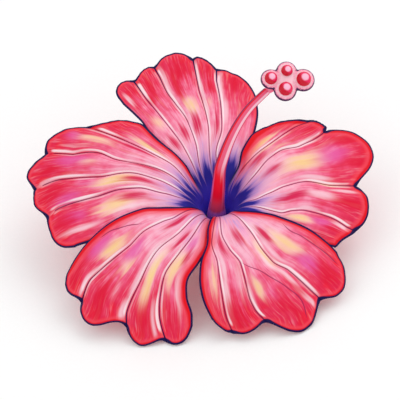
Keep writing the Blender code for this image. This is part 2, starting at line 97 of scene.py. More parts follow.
def linear(hex_colour: str) -> tuple[float, float, float, float]:
    """Turn an sRGB hex colour into linear values.

    Args:
        hex_colour: Six hex digits after a hash.

    Returns:
        Red, green, blue and an alpha of one.
    """
    parts = [int(hex_colour[i:i + 2], 16) / 255.0 for i in (1, 3, 5)]
    red, green, blue = (c / 12.92 if c <= 0.04045 else ((c + 0.055) / 1.055) ** 2.4 for c in parts)
    return red, green, blue, 1.0


def smooth_step(values: np.ndarray, start: float, end: float) -> np.ndarray:
    """Ease from 0 at start to 1 at end.

    Args:
        values: What is eased.
        start: The value that gives 0.
        end: The value that gives 1.

    Returns:
        The eased values.
    """
    t = np.clip((np.asarray(values, float) - start) / (end - start), 0.0, 1.0)
    return t * t * (3.0 - 2.0 * t)


def smooth_curve(knots: np.ndarray, heights: np.ndarray, at: np.ndarray) -> np.ndarray:
    """Run a cubic through the knots that never overshoots them and is level outside them.

    Args:
        knots: Places of the knots, rising.
        heights: Value at each knot.
        at: Places where the curve is read.

    Returns:
        The curve's values.
    """
    knots, heights = np.asarray(knots, float), np.asarray(heights, float)
    at = np.clip(np.asarray(at, float), knots[0], knots[-1])
    steps = np.diff(knots)
    slopes = np.diff(heights) / steps
    tangents = np.empty_like(heights)
    tangents[0], tangents[-1] = slopes[0], slopes[-1]
    for i in range(1, len(knots) - 1):
        before, after = slopes[i - 1], slopes[i]
        tangents[i] = 2.0 * before * after / (before + after) if before * after > 0.0 else 0.0
    cell = np.clip(np.searchsorted(knots, at, side="right") - 1, 0, len(steps) - 1)
    t = (at - knots[cell]) / steps[cell]
    rise = (1.0 + 2.0 * t) * (1.0 - t) ** 2 * heights[cell]
    rise = rise + t * t * (3.0 - 2.0 * t) * heights[cell + 1]
    bend = t * (1.0 - t) ** 2 * tangents[cell] - t * t * (1.0 - t) * tangents[cell + 1]
    return rise + bend * steps[cell]


def add(tree: NodeTree, kind: str, feeds: dict, stops: tuple = (), **settings: object) -> Node:
    """Add a node with its settings and links.

    Args:
        tree: The node tree.
        kind: The node's type.
        feeds: For each input, by name or number, a socket to link or a value to set.
        stops: On a colour ramp, places from 0 to 1, each with its hex colour.
        settings: The node's own properties.

    Returns:
        The node.
    """
    node = tree.nodes.new(kind)
    for name, value in settings.items():
        setattr(node, name, value)
    for key, value in feeds.items():
        if isinstance(value, NodeSocket):
            tree.links.new(value, node.inputs[key])
        else:
            node.inputs[key].default_value = value
    for number, (place, hex_colour) in enumerate(stops):
        elements = node.color_ramp.elements
        element = elements[number] if number < 2 else elements.new(place)
        element.position, element.color = place, linear(hex_colour)
    return node


@dataclass
class BloomSurface:
    """The surface that all the petals follow: a trumpet that flares and droops.

    Pairs are for the flower's back and its front, and run smoothly between them.

    wall_slope: how steep the throat's wall is at the bottom.
    lip_distance, lip_sharpness: how far along the petal it is level, and how late it turns.
    droop_angle, droop_full, droop_power: how steeply it falls beyond that, at what distance
        it does so, and how the fall grows on the way there.
    longest, table_step, bearing_step: the reach and the steps of the tables it is read from.
    """

    throat_radius: float = 4.5
    throat_floor: float = -21.0
    front_bearing: float = 270.0
    wall_slope: tuple[float, float] = (72.0, 79.0)
    lip_distance: tuple[float, float] = (34.0, 25.0)
    lip_sharpness: tuple[float, float] = (1.7, 3.0)
    droop_angle: tuple[float, float] = (14.0, 44.0)
    droop_full: float = 75.0
    droop_power: float = 1.1
    longest: float = 92.0
    table_step: float = 0.5
    bearing_step: float = 3.0
    radii: np.ndarray = field(init=False, repr=False)
    heights: np.ndarray = field(init=False, repr=False)

    def __post_init__(self) -> None:
        """Lay out the radius and height tables that the surface is read from."""
        bearings = np.arange(0.0, 360.0, self.bearing_step)
        distances = np.arange(0.0, self.longest + self.table_step, self.table_step)
        middles = 0.5 * (distances[1:] + distances[:-1])
        slopes = self.slope(bearings[:, None], middles[None, :])
        first = np.zeros((len(bearings), 1))
        out = np.cumsum(np.cos(slopes) * self.table_step, axis=1)
        up = np.cumsum(np.sin(slopes) * self.table_step, axis=1)
        self.radii = self.throat_radius + np.hstack([first, out])
        self.heights = self.throat_floor + np.hstack([first, up])

    def slope(self, bearing: np.ndarray, distance: np.ndarray) -> np.ndarray:
        """Give the angle above level, in radians.

        Args:
            bearing: Bearings in degrees.
            distance: Distances along the petal.

        Returns:
            The slope at each place.
        """
        front = 0.5 * (1.0 + np.cos(np.radians(bearing - self.front_bearing)))
        lip, sharpness, wall_top, droop = (
            pair[0] + (pair[1] - pair[0]) * front
            for pair in (self.lip_distance, self.lip_sharpness, self.wall_slope, self.droop_angle)
        )
        wall = wall_top * (1.0 - np.clip(distance / lip, 0.0, 1.0) ** sharpness)
        beyond = np.clip(distance - lip, 0.0, None) / (self.droop_full - lip)
        return np.radians(np.where(distance < lip, wall, -droop * beyond ** self.droop_power))

    def read(self, table: np.ndarray, bearing: np.ndarray, distance: np.ndarray) -> np.ndarray:
        """Read a table between its grid points.

        Args:
            table: The radius or the height table.
            bearing: Bearings in degrees.
            distance: Distances along the petal.

        Returns:
            The value at each place.
        """
        across = np.mod(bearing, 360.0) / self.bearing_step
        along = np.clip(distance / self.table_step, 0.0, table.shape[1] - 1.001)
        i, j = np.floor(across).astype(int), np.floor(along).astype(int)
        u, v = across - i, along - j
        i, i_next = i % table.shape[0], (i + 1) % table.shape[0]
        near = table[i, j] * (1 - u) + table[i_next, j] * u
        far = table[i, j + 1] * (1 - u) + table[i_next, j + 1] * u
        return near * (1 - v) + far * v

    def points(self, bearing: np.ndarray, distance: np.ndarray, lift: np.ndarray) -> np.ndarray:
        """Give points at a height above the surface, measured square to it.

        Args:
            bearing: Bearings in degrees.
            distance: Distances along the petal.
            lift: Heights above the surface.

        Returns:
            The points, with x, y and z along the last axis.
        """
        bearing, distance, lift = np.broadcast_arrays(bearing, distance, lift)
        slope = self.slope(bearing, distance)
        radius = self.read(self.radii, bearing, distance) - lift * np.sin(slope)
        height = self.read(self.heights, bearing, distance) + lift * np.cos(slope)
        angle = np.radians(bearing)
        return np.stack([radius * np.cos(angle), radius * np.sin(angle), height], axis=-1)


@dataclass(frozen=True)
class OvaryShape:
    """The ovary's size: how high its foot lies, and its radius at each height above that."""

    base: float = -21.2
    profile: tuple = ((0.0, 1.1), (0.6, 1.6), (1.8, 1.8), (3.2, 1.6), (4.4, 1.1), (5.2, 0.5))


@dataclass(frozen=True)
class Placing:
    """How the flower lies in the frame, taken from the part's own lean and its ovary's place."""

    lean: float = 15.7
    roll: float = 5.8
    ovary: OvaryShape = OvaryShape()

    def matrix(self) -> Matrix:
        """Give the move from the flower's own axes, in metres, into the frame.

        Returns:
            The move that brings the leaning ovary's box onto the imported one's.
        """
        turn = Euler((math.radians(self.lean), math.radians(self.roll), 0.0), "YXZ").to_matrix()
        turns = np.radians(np.arange(360.0))
        rings = []
        for height, radius in self.ovary.profile:
            level = np.full(turns.shape, self.ovary.base + height)
            rings.append(np.stack([radius * np.cos(turns), radius * np.sin(turns), level], axis=-1))
        leaning = np.concatenate(rings) @ np.array(turn).T * MM
        middle = Vector(0.5 * (leaning.min(axis=0) + leaning.max(axis=0)))
        low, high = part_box("ovary")
        return Matrix.Translation(0.5 * (low + high) - middle) @ turn.to_4x4()


@dataclass(frozen=True)
class Coat:
    """One coat of colour, laid where the paint under its name says.

    paint: the paint attribute of the mesh that the coat reads.
    colour: the coat's colour.
    none: the reading at which the coat stops.
    full: the reading at which it covers all that it can.
    cover: the most that it covers.
    swing: how far the streaks in the tissue shift the reading.
    both_sides: whether the paint is a distance that is below zero on one side of a line.
    """

    paint: str
    colour: str
    none: float
    full: float
    cover: float = 1.0
    swing: float = 0.0
    both_sides: bool = False

    def lay(self, tree: NodeTree, under: NodeSocket | tuple, streak: NodeSocket) -> NodeSocket:
        """Lay the coat over a colour.

        Args:
            tree: The node tree.
            under: The colour that it covers: a socket, or a value.
            streak: The tissue's streaks, which swing about zero.

        Returns:
            The covered colour.
        """
        reading = add(tree, "ShaderNodeAttribute", {}, attribute_name=self.paint).outputs["Fac"]
        if self.both_sides:
            reading = add(tree, "ShaderNodeMath", {0: reading}, operation="ABSOLUTE").outputs[0]
        if self.swing:
            feeds = {0: streak, 1: self.swing, 2: reading}
            reading = add(tree, "ShaderNodeMath", feeds, operation="MULTIPLY_ADD").outputs[0]
        feeds = {0: reading, 1: self.none, 2: self.full, 4: self.cover}
        share = add(tree, "ShaderNodeMapRange", feeds, interpolation_type="SMOOTHSTEP").outputs[0]
        feeds = {0: share, 6: under, 7: linear(self.colour)}
        return add(tree, "ShaderNodeMix", feeds, data_type="RGBA").outputs[2]


@dataclass(frozen=True)
class Finish:
    """What the plant's finishes share: their gloss, and a relief raised by their own pattern.

    roughness: the least and the most that the pattern gives.
    pattern_span: the readings of the pattern between which the roughness runs.
    relief_mm: how high the pattern stands.
    relief_strength: how much of that height shows.
    ior, specular: how the skin mirrors light; fleshy tissue has about 1.4, a waxy skin 1.5.
    """

    roughness: tuple = (0.5, 0.7)
    pattern_span: tuple = (0.3, 0.7)
    relief_mm: float = 0.1
    relief_strength: float = 0.4
    ior: float = 1.5
    specular: float = 0.5

    @staticmethod
    def start(name: str) -> tuple[Material, NodeTree, Node]:
        """Start a node material.

        Args:
            name: The material's name.

        Returns:
            The material, its node tree and its shader.
        """
        material = bpy.data.materials.new(name)
        material.use_nodes = True
        tree = material.node_tree
        return material, tree, tree.nodes["Principled BSDF"]

    def dress(self, tree: NodeTree, shader: Node, colour: NodeSocket, pattern: NodeSocket,
              height: NodeSocket) -> None:
        """Link the colour to the shader, and set its gloss and relief.

        Args:
            tree: The node tree.
            shader: The shader.
            colour: The surface's colour.
            pattern: The pattern that varies the roughness.
            height: The pattern that is raised.
        """
        tree.links.new(colour, shader.inputs["Base Color"])
        low, high = self.pattern_span
        feeds = {0: pattern, 1: low, 2: high, 3: self.roughness[0], 4: self.roughness[1]}
        tree.links.new(add(tree, "ShaderNodeMapRange", feeds).outputs[0], shader.inputs["Roughness"])
        feeds = {"Height": height, "Strength": self.relief_strength, "Distance": self.relief_mm * MM}
        tree.links.new(add(tree, "ShaderNodeBump", feeds).outputs[0], shader.inputs["Normal"])
        shader.inputs["IOR"].default_value = self.ior
        shader.inputs["Specular IOR Level"].default_value = self.specular


@dataclass(frozen=True)
class PetalTissue(Finish):
    """Hibiscus petal: thin fleshy tissue, grown in long cells, with pigment laid along them.

    It gives the eye a soft satin face, colour that runs in streaks from the throat to the
    rim, painted highlights beside thin dark fold lines of painted shade and in pale patches,
    a dark line round the margin that widens into painted shade at the notches, and painted
    light deep in the throat.  Real cells are a few hundredths of a millimetre wide, too fine
    to show, so the fibres and streaks are drawn as wide as bundles of them.

    flesh, back: the colours from the throat to the rim, on the upper face and the back.
    face, back_face: the coats laid over them.
    tooth: the pale and the dark colour of single fibres, each with the readings at which it
        starts and is full, and tooth_cover how strong they are.
    cloud_mm, streak_mm, fibre_mm: the widths of the soft clouds, the streaks and the fibres.
    stretch: how much shorter the pattern is along the petal than across it.
    streak_shift, cloud_shift: how far streaks and clouds move the colours along the petal.
    """

    name: str = "hibiscus_petal_tissue"
    flesh: tuple = (
        (0.20, "#CFA2D8"), (0.32, "#F6A6CA"), (0.45, "#FBB4CA"), (0.58, "#F88CAC"),
        (0.70, "#F05C84"), (0.82, "#EA385E"), (0.92, "#E62850"), (1.0, "#EE1C3C"),
    )
    face: tuple = (
        Coat(Pigment.GOLD.value, "#FBD2BC", 0.06, 0.60, 0.70, 1.2),
        Coat(Pigment.GOLD.value, "#FAD68A", 0.34, 1.10, 0.80, 1.5),
        Coat(Pigment.ORCHID.value, "#E65AA8", 0.20, 1.0, 0.75, 1.3),
        # Pale patches of painted highlight.
        Coat(Pigment.PALE.value, "#FCD6E2", 0.20, 1.0, 0.75, 1.3),
        Coat(Pigment.CRIMSON.value, "#D8104E", 0.22, 1.0, 0.95, 1.2),
        Coat(Pigment.RED.value, "#E00434", 0.18, 1.10, 0.88, 1.7),
        # Painted highlight beside each fold.
        Coat("shine", "#FFEAF0", 0.20, 0.88, 0.92, 0.75),
        Coat("band", "#F4485A", 2.1, 1.1, 0.70, 0.8),
        Coat("band", "#E40018", 1.15, 0.60, 0.99, 0.5),
        # Dark lines along the folds and the shallow creases, widening near the notches: painted shade in the
        # folds.
        Coat("crease", "#98204E", 1.0, 0.35, 0.85),
        Coat("vein_1", "#9C1E50", 0.36, 0.10, 0.85, both_sides=True),
        Coat("vein_2", "#9C1E50", 0.36, 0.10, 0.85, both_sides=True),
        Coat("pinch", "#240A4C", 1.0, 0.6),
        # A dark line round the margin, its own colour, widened at the notches into painted shade.
        Coat("edge", "#140848", 1.12, 0.80),
        Coat("throat", "#C0A4DC", 11.5, 2.0, 0.42, 9.0),
        Coat("throat", "#9470C8", 5.2, -1.0, 0.80, 9.0),
        Coat("throat", "#2A2696", 1.5, -2.5, 1.0, 9.0),
        # Brighter blue deep in the throat: painted light against the throat's shade.
        Coat("depth", "#5448E8", 0.0, 1.0, 0.9),
    )
    back: tuple = (
        (0.0, "#D9DDA8"), (0.18, "#F0B9B4"), (0.5, "#EE8FA0"), (0.8, "#EA5F78"), (1.0, "#E84860"),
    )
    back_face: tuple = (
        Coat("crease", "#C43A5E", 1.6, 0.3, 0.65, 1.5),
        # The dark margin on the back, widened at the notches into painted shade as well.
        Coat("edge", "#1C0C58", 1.15, 0.72),
    )
    tooth: tuple = (("#FBD3DE", 0.50, 0.72), ("#C41048", 0.50, 0.30))
    tooth_cover: float = 0.20
    cloud_mm: float = 5.0
    streak_mm: float = 1.3
    fibre_mm: float = 0.45
    stretch: float = 0.07
    streak_shift: float = 0.45
    cloud_shift: float = 0.40
    fibre_height: float = 0.6
    roughness: tuple = (0.45, 0.62)
    ior: float = 1.42
    specular: float = 0.2
    sheen: float = 0.04
    sheen_roughness: float = 0.4

    def material(self) -> Material:
        """Build the node material.

        Returns:
            The material, which reads the paint attributes of a petal's mesh.
        """
        material, tree, shader = self.start(self.name)
        grain = add(tree, "ShaderNodeAttribute", {}, attribute_name="grain").outputs["Vector"]
        long_cells = add(tree, "ShaderNodeMapping", {0: grain, 3: (1.0, self.stretch, 1.0)}).outputs[0]
        feeds = {"Vector": long_cells, "Scale": 1.0 / self.streak_mm, "Detail": 3.0}
        streak = add(tree, "ShaderNodeTexNoise", feeds).outputs["Fac"]
        feeds = {"Vector": long_cells, "Scale": 1.0 / self.fibre_mm, "Detail": 2.0}
        fibre = add(tree, "ShaderNodeTexNoise", feeds).outputs["Fac"]
        feeds = {"Vector": grain, "Scale": 1.0 / self.cloud_mm, "Detail": 2.0}
        cloud = add(tree, "ShaderNodeTexNoise", feeds).outputs["Fac"]
        swing, drift = (add(tree, "ShaderNodeMath", {0: pattern, 1: -0.5}, operation="ADD").outputs[0]
                        for pattern in (streak, cloud))
        along = add(tree, "ShaderNodeAttribute", {}, attribute_name="along").outputs["Fac"]
        for pattern, shift in ((swing, self.streak_shift), (drift, self.cloud_shift)):
            feeds = {0: pattern, 1: shift, 2: along}
            along = add(tree, "ShaderNodeMath", feeds, operation="MULTIPLY_ADD").outputs[0]
        sides = []
        for stops, coats in ((self.flesh, self.face), (self.back, self.back_face)):
            colour = add(tree, "ShaderNodeValToRGB", {0: along}, stops).outputs[0]
            for hex_colour, start, end in self.tooth:
                feeds = {0: fibre, 1: start, 2: end, 4: self.tooth_cover}
                share = add(tree, "ShaderNodeMapRange", feeds, interpolation_type="SMOOTHSTEP").outputs[0]
                feeds = {0: share, 6: colour, 7: linear(hex_colour)}
                colour = add(tree, "ShaderNodeMix", feeds, data_type="RGBA").outputs[2]
            for coat in coats:
                colour = coat.lay(tree, colour, swing)
            sides.append(colour)
        under = add(tree, "ShaderNodeAttribute", {}, attribute_name="under").outputs["Fac"]
        feeds = {0: under, 6: sides[0], 7: sides[1]}
        colour = add(tree, "ShaderNodeMix", feeds, data_type="RGBA").outputs[2]
        feeds = {0: fibre, 1: self.fibre_height, 2: streak}
        height = add(tree, "ShaderNodeMath", feeds, operation="MULTIPLY_ADD").outputs[0]
        self.dress(tree, shader, colour, streak, height)
        shader.inputs["Sheen Weight"].default_value = self.sheen
        shader.inputs["Sheen Roughness"].default_value = self.sheen_roughness
        return material


@dataclass(frozen=True)
class TubeTissue(Finish):
    """Staminal column and style: smooth waxy plant tissue with colour in long stripes.

    It gives the eye a moist satin tube, deep crimson down its front, a painted highlight
    where it turns to the light, a plum line along each flank, and painted light low down
    that offsets the shade in the throat.  Its streaks are drawn coarser than its cells,
    which are too fine to show.
    """

    name: str = "staminal_column_tissue"
    flesh: str = "#EE5C80"
    coats: tuple = (
        Coat("flank", "#F266B0", 0.2, 0.8, 1.0, 0.5),
        Coat("core", "#EC0024", 0.2, 0.8, 1.0, 0.5),
        # Brighter red low on the column: painted light that offsets the shade deep in the throat.
        Coat("deep", "#FF5A7C", 0.1, 1.0, 0.75),
        Coat("highlight", "#FFCCDC", 0.1, 1.2, 1.0, 0.5),
        Coat("line", "#CC0C48", 0.2, 0.8, 1.0, 0.4),
        # Pink foot: its own colour, lightened as painted light against the shade in the throat.
        Coat("foot", "#FF8CD8", 0.2, 0.8, 0.9, 0.5),
        Coat("outline", "#8A0A50", 0.2, 0.8, 1.0, 0.3),
    )
    streak_mm: float = 0.7
    stretch: float = 0.08
    roughness: tuple = (0.34, 0.5)
    relief_mm: float = 0.08
    relief_strength: float = 0.35
    ior: float = 1.42
    specular: float = 0.35

    def material(self) -> Material:
        """Build the node material.

        Returns:
            The material, which reads the stripes painted on the tube's mesh.
        """
        material, tree, shader = self.start(self.name)
        grain = add(tree, "ShaderNodeAttribute", {}, attribute_name="grain").outputs["Vector"]
        room = add(tree, "ShaderNodeMapping", {0: grain, 3: (1.0, self.stretch, 1.0)}).outputs[0]
        feeds = {"Vector": room, "Scale": 1.0 / self.streak_mm, "Detail": 3.0}
        streak = add(tree, "ShaderNodeTexNoise", feeds).outputs["Fac"]
        swing = add(tree, "ShaderNodeMath", {0: streak, 1: -0.5}, operation="ADD").outputs[0]
        colour = linear(self.flesh)
        for coat in self.coats:
            colour = coat.lay(tree, colour, swing)
        self.dress(tree, shader, colour, streak, streak)
        return material


@dataclass(frozen=True)
class CushionTissue(Finish):
    """Style head: soft spongy tissue, swollen into pads.

    It gives the eye a moist pink cushion, paler where it swells as a painted highlight, with a plum line
    round it.
    Its sponge is drawn coarser than its cells, which are too fine to show.
    """

    name: str = "style_head_tissue"
    swell: tuple = ((0.25, "#F04478"), (0.52, "#FC98B4"), (0.85, "#FFD6E2"))
    rim: Coat = Coat("inset", "#3A0848", 0.60, 0.25, swing=0.9)
    sponge_mm: float = 0.6
    mottle: float = 0.6
    roughness: tuple = (0.38, 0.52)
    relief_mm: float = 0.12
    specular: float = 0.3

    def material(self) -> Material:
        """Build the node material.

        Returns:
            The material, which reads how far each point is from the pads' outline.
        """
        material, tree, shader = self.start(self.name)
        lit = add(tree, "ShaderNodeAttribute", {}, attribute_name="lit").outputs["Fac"]
        place = add(tree, "ShaderNodeAttribute", {}, attribute_name="grain").outputs["Vector"]
        feeds = {"Vector": place, "Scale": 1.0 / self.sponge_mm, "Detail": 3.0}
        sponge = add(tree, "ShaderNodeTexNoise", feeds).outputs["Fac"]
        swing = add(tree, "ShaderNodeMath", {0: sponge, 1: -0.5}, operation="ADD").outputs[0]
        feeds = {0: swing, 1: self.mottle, 2: lit}
        lit = add(tree, "ShaderNodeMath", feeds, operation="MULTIPLY_ADD").outputs[0]
        # Paler on the swells: a painted highlight.
        colour = add(tree, "ShaderNodeValToRGB", {0: lit}, self.swell).outputs[0]
        self.dress(tree, shader, self.rim.lay(tree, colour, swing), sponge, sponge)
        return material


@dataclass(frozen=True)
class StigmaGloss(Finish):
    """Stigma: a round bead of ruby tissue, wet as it grows.

    It gives the eye a glossy bead, with painted shade low down and a painted highlight on top.
    Its grit is drawn coarser than the fine hairs of a real one, which are too fine to show.
    """

    name: str = "stigma_bead"
    ruby: str = "#EC1456"
    coats: tuple = (
        # Painted shade on the lower side and a painted highlight on top.
        Coat("shade", "#CC0028", 0.2, 0.85, 1.0, 0.35),
        Coat("bead_highlight", "#FBBAD4", 0.2, 0.85, 1.0, 0.35),
    )
    grit_mm: float = 0.45
    roughness: tuple = (0.16, 0.3)
    relief_mm: float = 0.08
    relief_strength: float = 0.3
    specular: float = 0.25
    wetness: float = 0.08
    wet_roughness: float = 0.12

    def material(self) -> Material:
        """Build the node material.

        Returns:
            The material, which reads the painted highlight and painted shade on a bead's mesh.
        """
        material, tree, shader = self.start(self.name)
        place = add(tree, "ShaderNodeAttribute", {}, attribute_name="grain").outputs["Vector"]
        feeds = {"Vector": place, "Scale": 1.0 / self.grit_mm, "Detail": 2.0}
        grit = add(tree, "ShaderNodeTexNoise", feeds).outputs["Fac"]
        swing = add(tree, "ShaderNodeMath", {0: grit, 1: -0.5}, operation="ADD").outputs[0]
        colour = linear(self.ruby)
        for coat in self.coats:
            colour = coat.lay(tree, colour, swing)
        self.dress(tree, shader, colour, grit, grit)
        shader.inputs["Coat Weight"].default_value = self.wetness
        shader.inputs["Coat Roughness"].default_value = self.wet_roughness
        return material


@dataclass(frozen=True)
class LeafTissue(Finish):
    """Calyx, bract, stalk and ovary: green downy skin with fine ribs along its length.

    It gives the eye a matt, faintly hairy green, lighter along the ribs and browner at
    tips and cuts.  Its down is drawn coarser than real hairs, which are too fine to show.
    """

    name: str = "leaf_skin"
    skin: tuple = ((0.3, "#56782F"), (0.65, "#7FA04C"))
    rib: str = "#B8C878"
    tip: str = "#9C6A3C"
    coats: tuple = ()
    fibre_mm: float = 0.9
    down_mm: float = 0.33
    stretch: float = 0.12
    relief_strength: float = 0.5
    sheen: float = 0.2

    def material(self) -> Material:
        """Build the node material.

        Returns:
            The material, which reads the grain, ribs and tips painted on the mesh.
        """
        material, tree, shader = self.start(self.name)
        grain = add(tree, "ShaderNodeAttribute", {}, attribute_name="grain").outputs["Vector"]
        room = add(tree, "ShaderNodeMapping", {0: grain, 3: (1.0, self.stretch, 1.0)}).outputs[0]
        feeds = {"Vector": room, "Scale": 1.0 / self.fibre_mm, "Detail": 3.0}
        fibre = add(tree, "ShaderNodeTexNoise", feeds).outputs["Fac"]
        feeds = {"Vector": grain, "Scale": 1.0 / self.down_mm, "Detail": 2.0}
        down = add(tree, "ShaderNodeTexNoise", feeds).outputs["Fac"]
        swing = add(tree, "ShaderNodeMath", {0: down, 1: -0.5}, operation="ADD").outputs[0]
        colour = add(tree, "ShaderNodeValToRGB", {0: fibre}, self.skin).outputs[0]
        marks = (Coat("rib", self.rib, 0.2, 0.9, 0.7, 0.3), Coat("tip", self.tip, 0.2, 0.9, 0.85, 0.3))
        for coat in (*marks, *self.coats):
            colour = coat.lay(tree, colour, swing)
        self.dress(tree, shader, colour, down, down)
        shader.inputs["Sheen Weight"].default_value = self.sheen
        return material


SEPAL_SKIN = LeafTissue(name="sepal_skin", coats=(Coat("stain", "#2A2696", 0.2, 0.9, 1.0, 0.3),))
BRACT_SKIN = LeafTissue(
    name="bract_skin", skin=((0.3, "#47692A"), (0.65, "#6F9440")), rib="#A9BF6C", tip="#8A5C30",
)
STALK_SKIN = LeafTissue(
    name="pedicel_skin", skin=((0.3, "#5C6E30"), (0.65, "#7F9646")), rib="#A7A860", tip="#C9C08A",
)
OVARY_SKIN = LeafTissue(
    name="ovary_skin", skin=((0.3, "#B4C272"), (0.65, "#D5DE9C")), rib="#EDF0C4", tip="#E8B0B8",
)


@dataclass
class Assembly:
    """What every sub-assembly shares: the surface, the placing and how a mesh is added."""

    surface: BloomSurface
    placing: Matrix

    def piece(self, name: str, points: np.ndarray, faces: list, paint: dict, material: Material,
              nodes: tuple, slot: str) -> Object:
        """Add one closed piece, in the frame, in place of its CAD nodes.

        Args:
            name: The piece's name.
            points: Its points in the flower's axes, in millimetres.
            faces: Its faces as point numbers.
            paint: Paint attributes, one value or vector per point.
            material: The finish.
            nodes: The CAD nodes that it stands for.
            slot: The record's material slot; not used.

        Returns:
            The piece.
        """
        points = np.asarray(points, float).reshape(-1, 3)
        mesh = bpy.data.meshes.new(name)
        mesh.from_pydata((points * MM).tolist(), [], faces)
        mesh.transform(self.placing)
        for label, values in paint.items():
            values = np.asarray(values, np.float32)
            kind, key = ("FLOAT_VECTOR", "vector") if values.ndim == 2 else ("FLOAT", "value")
            mesh.attributes.new(label, kind, "POINT").data.foreach_set(key, values.ravel())
        mesh.materials.append(material)
        mesh.shade_smooth()
        mesh.set_sharp_from_angle(angle=math.radians(SHARP_EDGE))
        made = bpy.data.objects.new(name, mesh)
        bpy.context.scene.collection.objects.link(made)
        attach(made, "root")
        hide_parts(*nodes)
        LOG.info("%s: %d points, %d faces", name, len(mesh.vertices), len(mesh.polygons))
        return made

    @staticmethod
    def sheet_faces(columns: int, rows: int) -> list[tuple[int, ...]]:
        """Give the faces of a closed sheet: an upper grid, a lower grid and a wall round them.

        Args:
            columns: Points across.
            rows: Points along.

        Returns:
            The faces, pointing out.
        """
        half = columns * rows
        numbers = np.arange(half).reshape(columns, rows)
        a, b, c, d = numbers[:-1, :-1], numbers[1:, :-1], numbers[1:, 1:], numbers[:-1, 1:]
        upper = np.stack([a, b, c, d], axis=-1).reshape(-1, 4)
        lower = np.stack([a, d, c, b], axis=-1).reshape(-1, 4) + half
        ring = np.concatenate([numbers[:, 0], numbers[-1, 1:], numbers[-2::-1, -1], numbers[0, -2:0:-1]])
        after = np.roll(ring, -1)
        wall = np.stack([after, ring, ring + half, after + half], axis=-1)
        return [tuple(face) for face in np.concatenate([upper, lower, wall]).tolist()]

    @staticmethod
    def ring_faces(rings: int, sides: int, capped: bool = True,
                   flipped: bool = False) -> list[tuple[int, ...]]:
        """Give the faces of a stack of rings.

        Args:
            rings: How many rings there are.
            sides: Points in each ring.
            capped: Whether both ends are closed by a face, or the last ring joins the first.
            flipped: Whether the rings run the way that needs every face turned round.

        Returns:
            The faces, pointing out.
        """
        numbers = np.arange(rings * sides).reshape(rings, sides)
        low, high = (numbers[:-1], numbers[1:]) if capped else (numbers, np.roll(numbers, -1, axis=0))
        quads = np.stack([low, np.roll(low, -1, axis=1), np.roll(high, -1, axis=1), high], axis=-1)
        faces = [tuple(face) for face in quads.reshape(-1, 4).tolist()]
        if capped:
            faces += [tuple(reversed(range(sides))), tuple(range((rings - 1) * sides, rings * sides))]
        return [face[::-1] for face in faces] if flipped else faces

    @staticmethod
    def frames(route: np.ndarray) -> tuple[np.ndarray, np.ndarray]:
        """Give two directions square to a route at each of its points.

        Args:
            route: The route's points.

        Returns:
            Directions to the side and to the back, without twist.
        """
        tangents = np.gradient(route, axis=0)
        tangents /= np.linalg.norm(tangents, axis=1)[:, None]
        side = np.array([1.0, 0.0, 0.0])
        sides, backs = [], []
        for tangent in tangents:
            side = side - tangent * np.dot(side, tangent)
            side /= np.linalg.norm(side)
            sides.append(side)
            backs.append(np.cross(tangent, side))
        return np.array(sides), np.array(backs)

    @staticmethod
    def along_route(route: tuple, count: int) -> tuple[np.ndarray, np.ndarray]:
        """Give points at equal steps along the smooth curve through a route's points.

        Args:
            route: The route's points.
            count: How many points to give.

        Returns:
            The points and the distance walked to each.
        """
        route = np.asarray(route, float)
        walked = np.concatenate([[0.0], np.cumsum(np.linalg.norm(np.diff(route, axis=0), axis=1))])
        at = np.linspace(0.0, walked[-1], count)
        fine = np.stack([smooth_curve(walked, route[:, axis], at) for axis in range(3)], axis=-1)
        steps = np.linalg.norm(np.diff(fine, axis=0), axis=1)
        return fine, np.concatenate([[0.0], np.cumsum(steps)])


@dataclass(frozen=True)
class Patch:
    """One patch of pigment or of painted highlight: where its middle lies, and its length and width."""

    pigment: Pigment
    bearing: float
    distance: float
    length: float
    width: float
    strength: float = 1.0


@dataclass(frozen=True)
class PetalPlan:
    """One petal: its folds and rim as the part has them, and what is painted on it.

    folds: lines of (distance, bearing) points; the first and last are the side edges.
    reach: for each lobe between two folds, the rim's distance at the rim steps across it.
    puff: how far each lobe swells above its folds.
    over: whether the first and the last side lie over the neighbouring petal.
    shine: the side of the folds that catches the light.
    throat: how far the indigo of the throat reaches up each lobe.
    bands: width of the red band along the first side, the rim and the last side.
    pinch: how far in from the rim the folds are pinched to a dark line of painted shade, or 0 where they
    fade.
    patches: patches of pigment, and pale patches of painted highlight.
    creases: shallow lines inside a lobe, as (distance, bearing) points.
    """

    name: str
    folds: tuple
    reach: tuple
    puff: tuple
    over: tuple
    shine: ShineSide
    throat: tuple
    bands: tuple
    pinch: float
    patches: tuple
    creases: tuple = ()


def patches(pigment: Pigment, *rows: tuple) -> tuple[Patch, ...]:
    """Make patches of one pigment, or of painted highlight.

    Args:
        pigment: The pigment.
        rows: Bearing, distance, length, width and, where it isn't full, strength.

    Returns:
        The patches.
    """
    return tuple(Patch(pigment, *row) for row in rows)
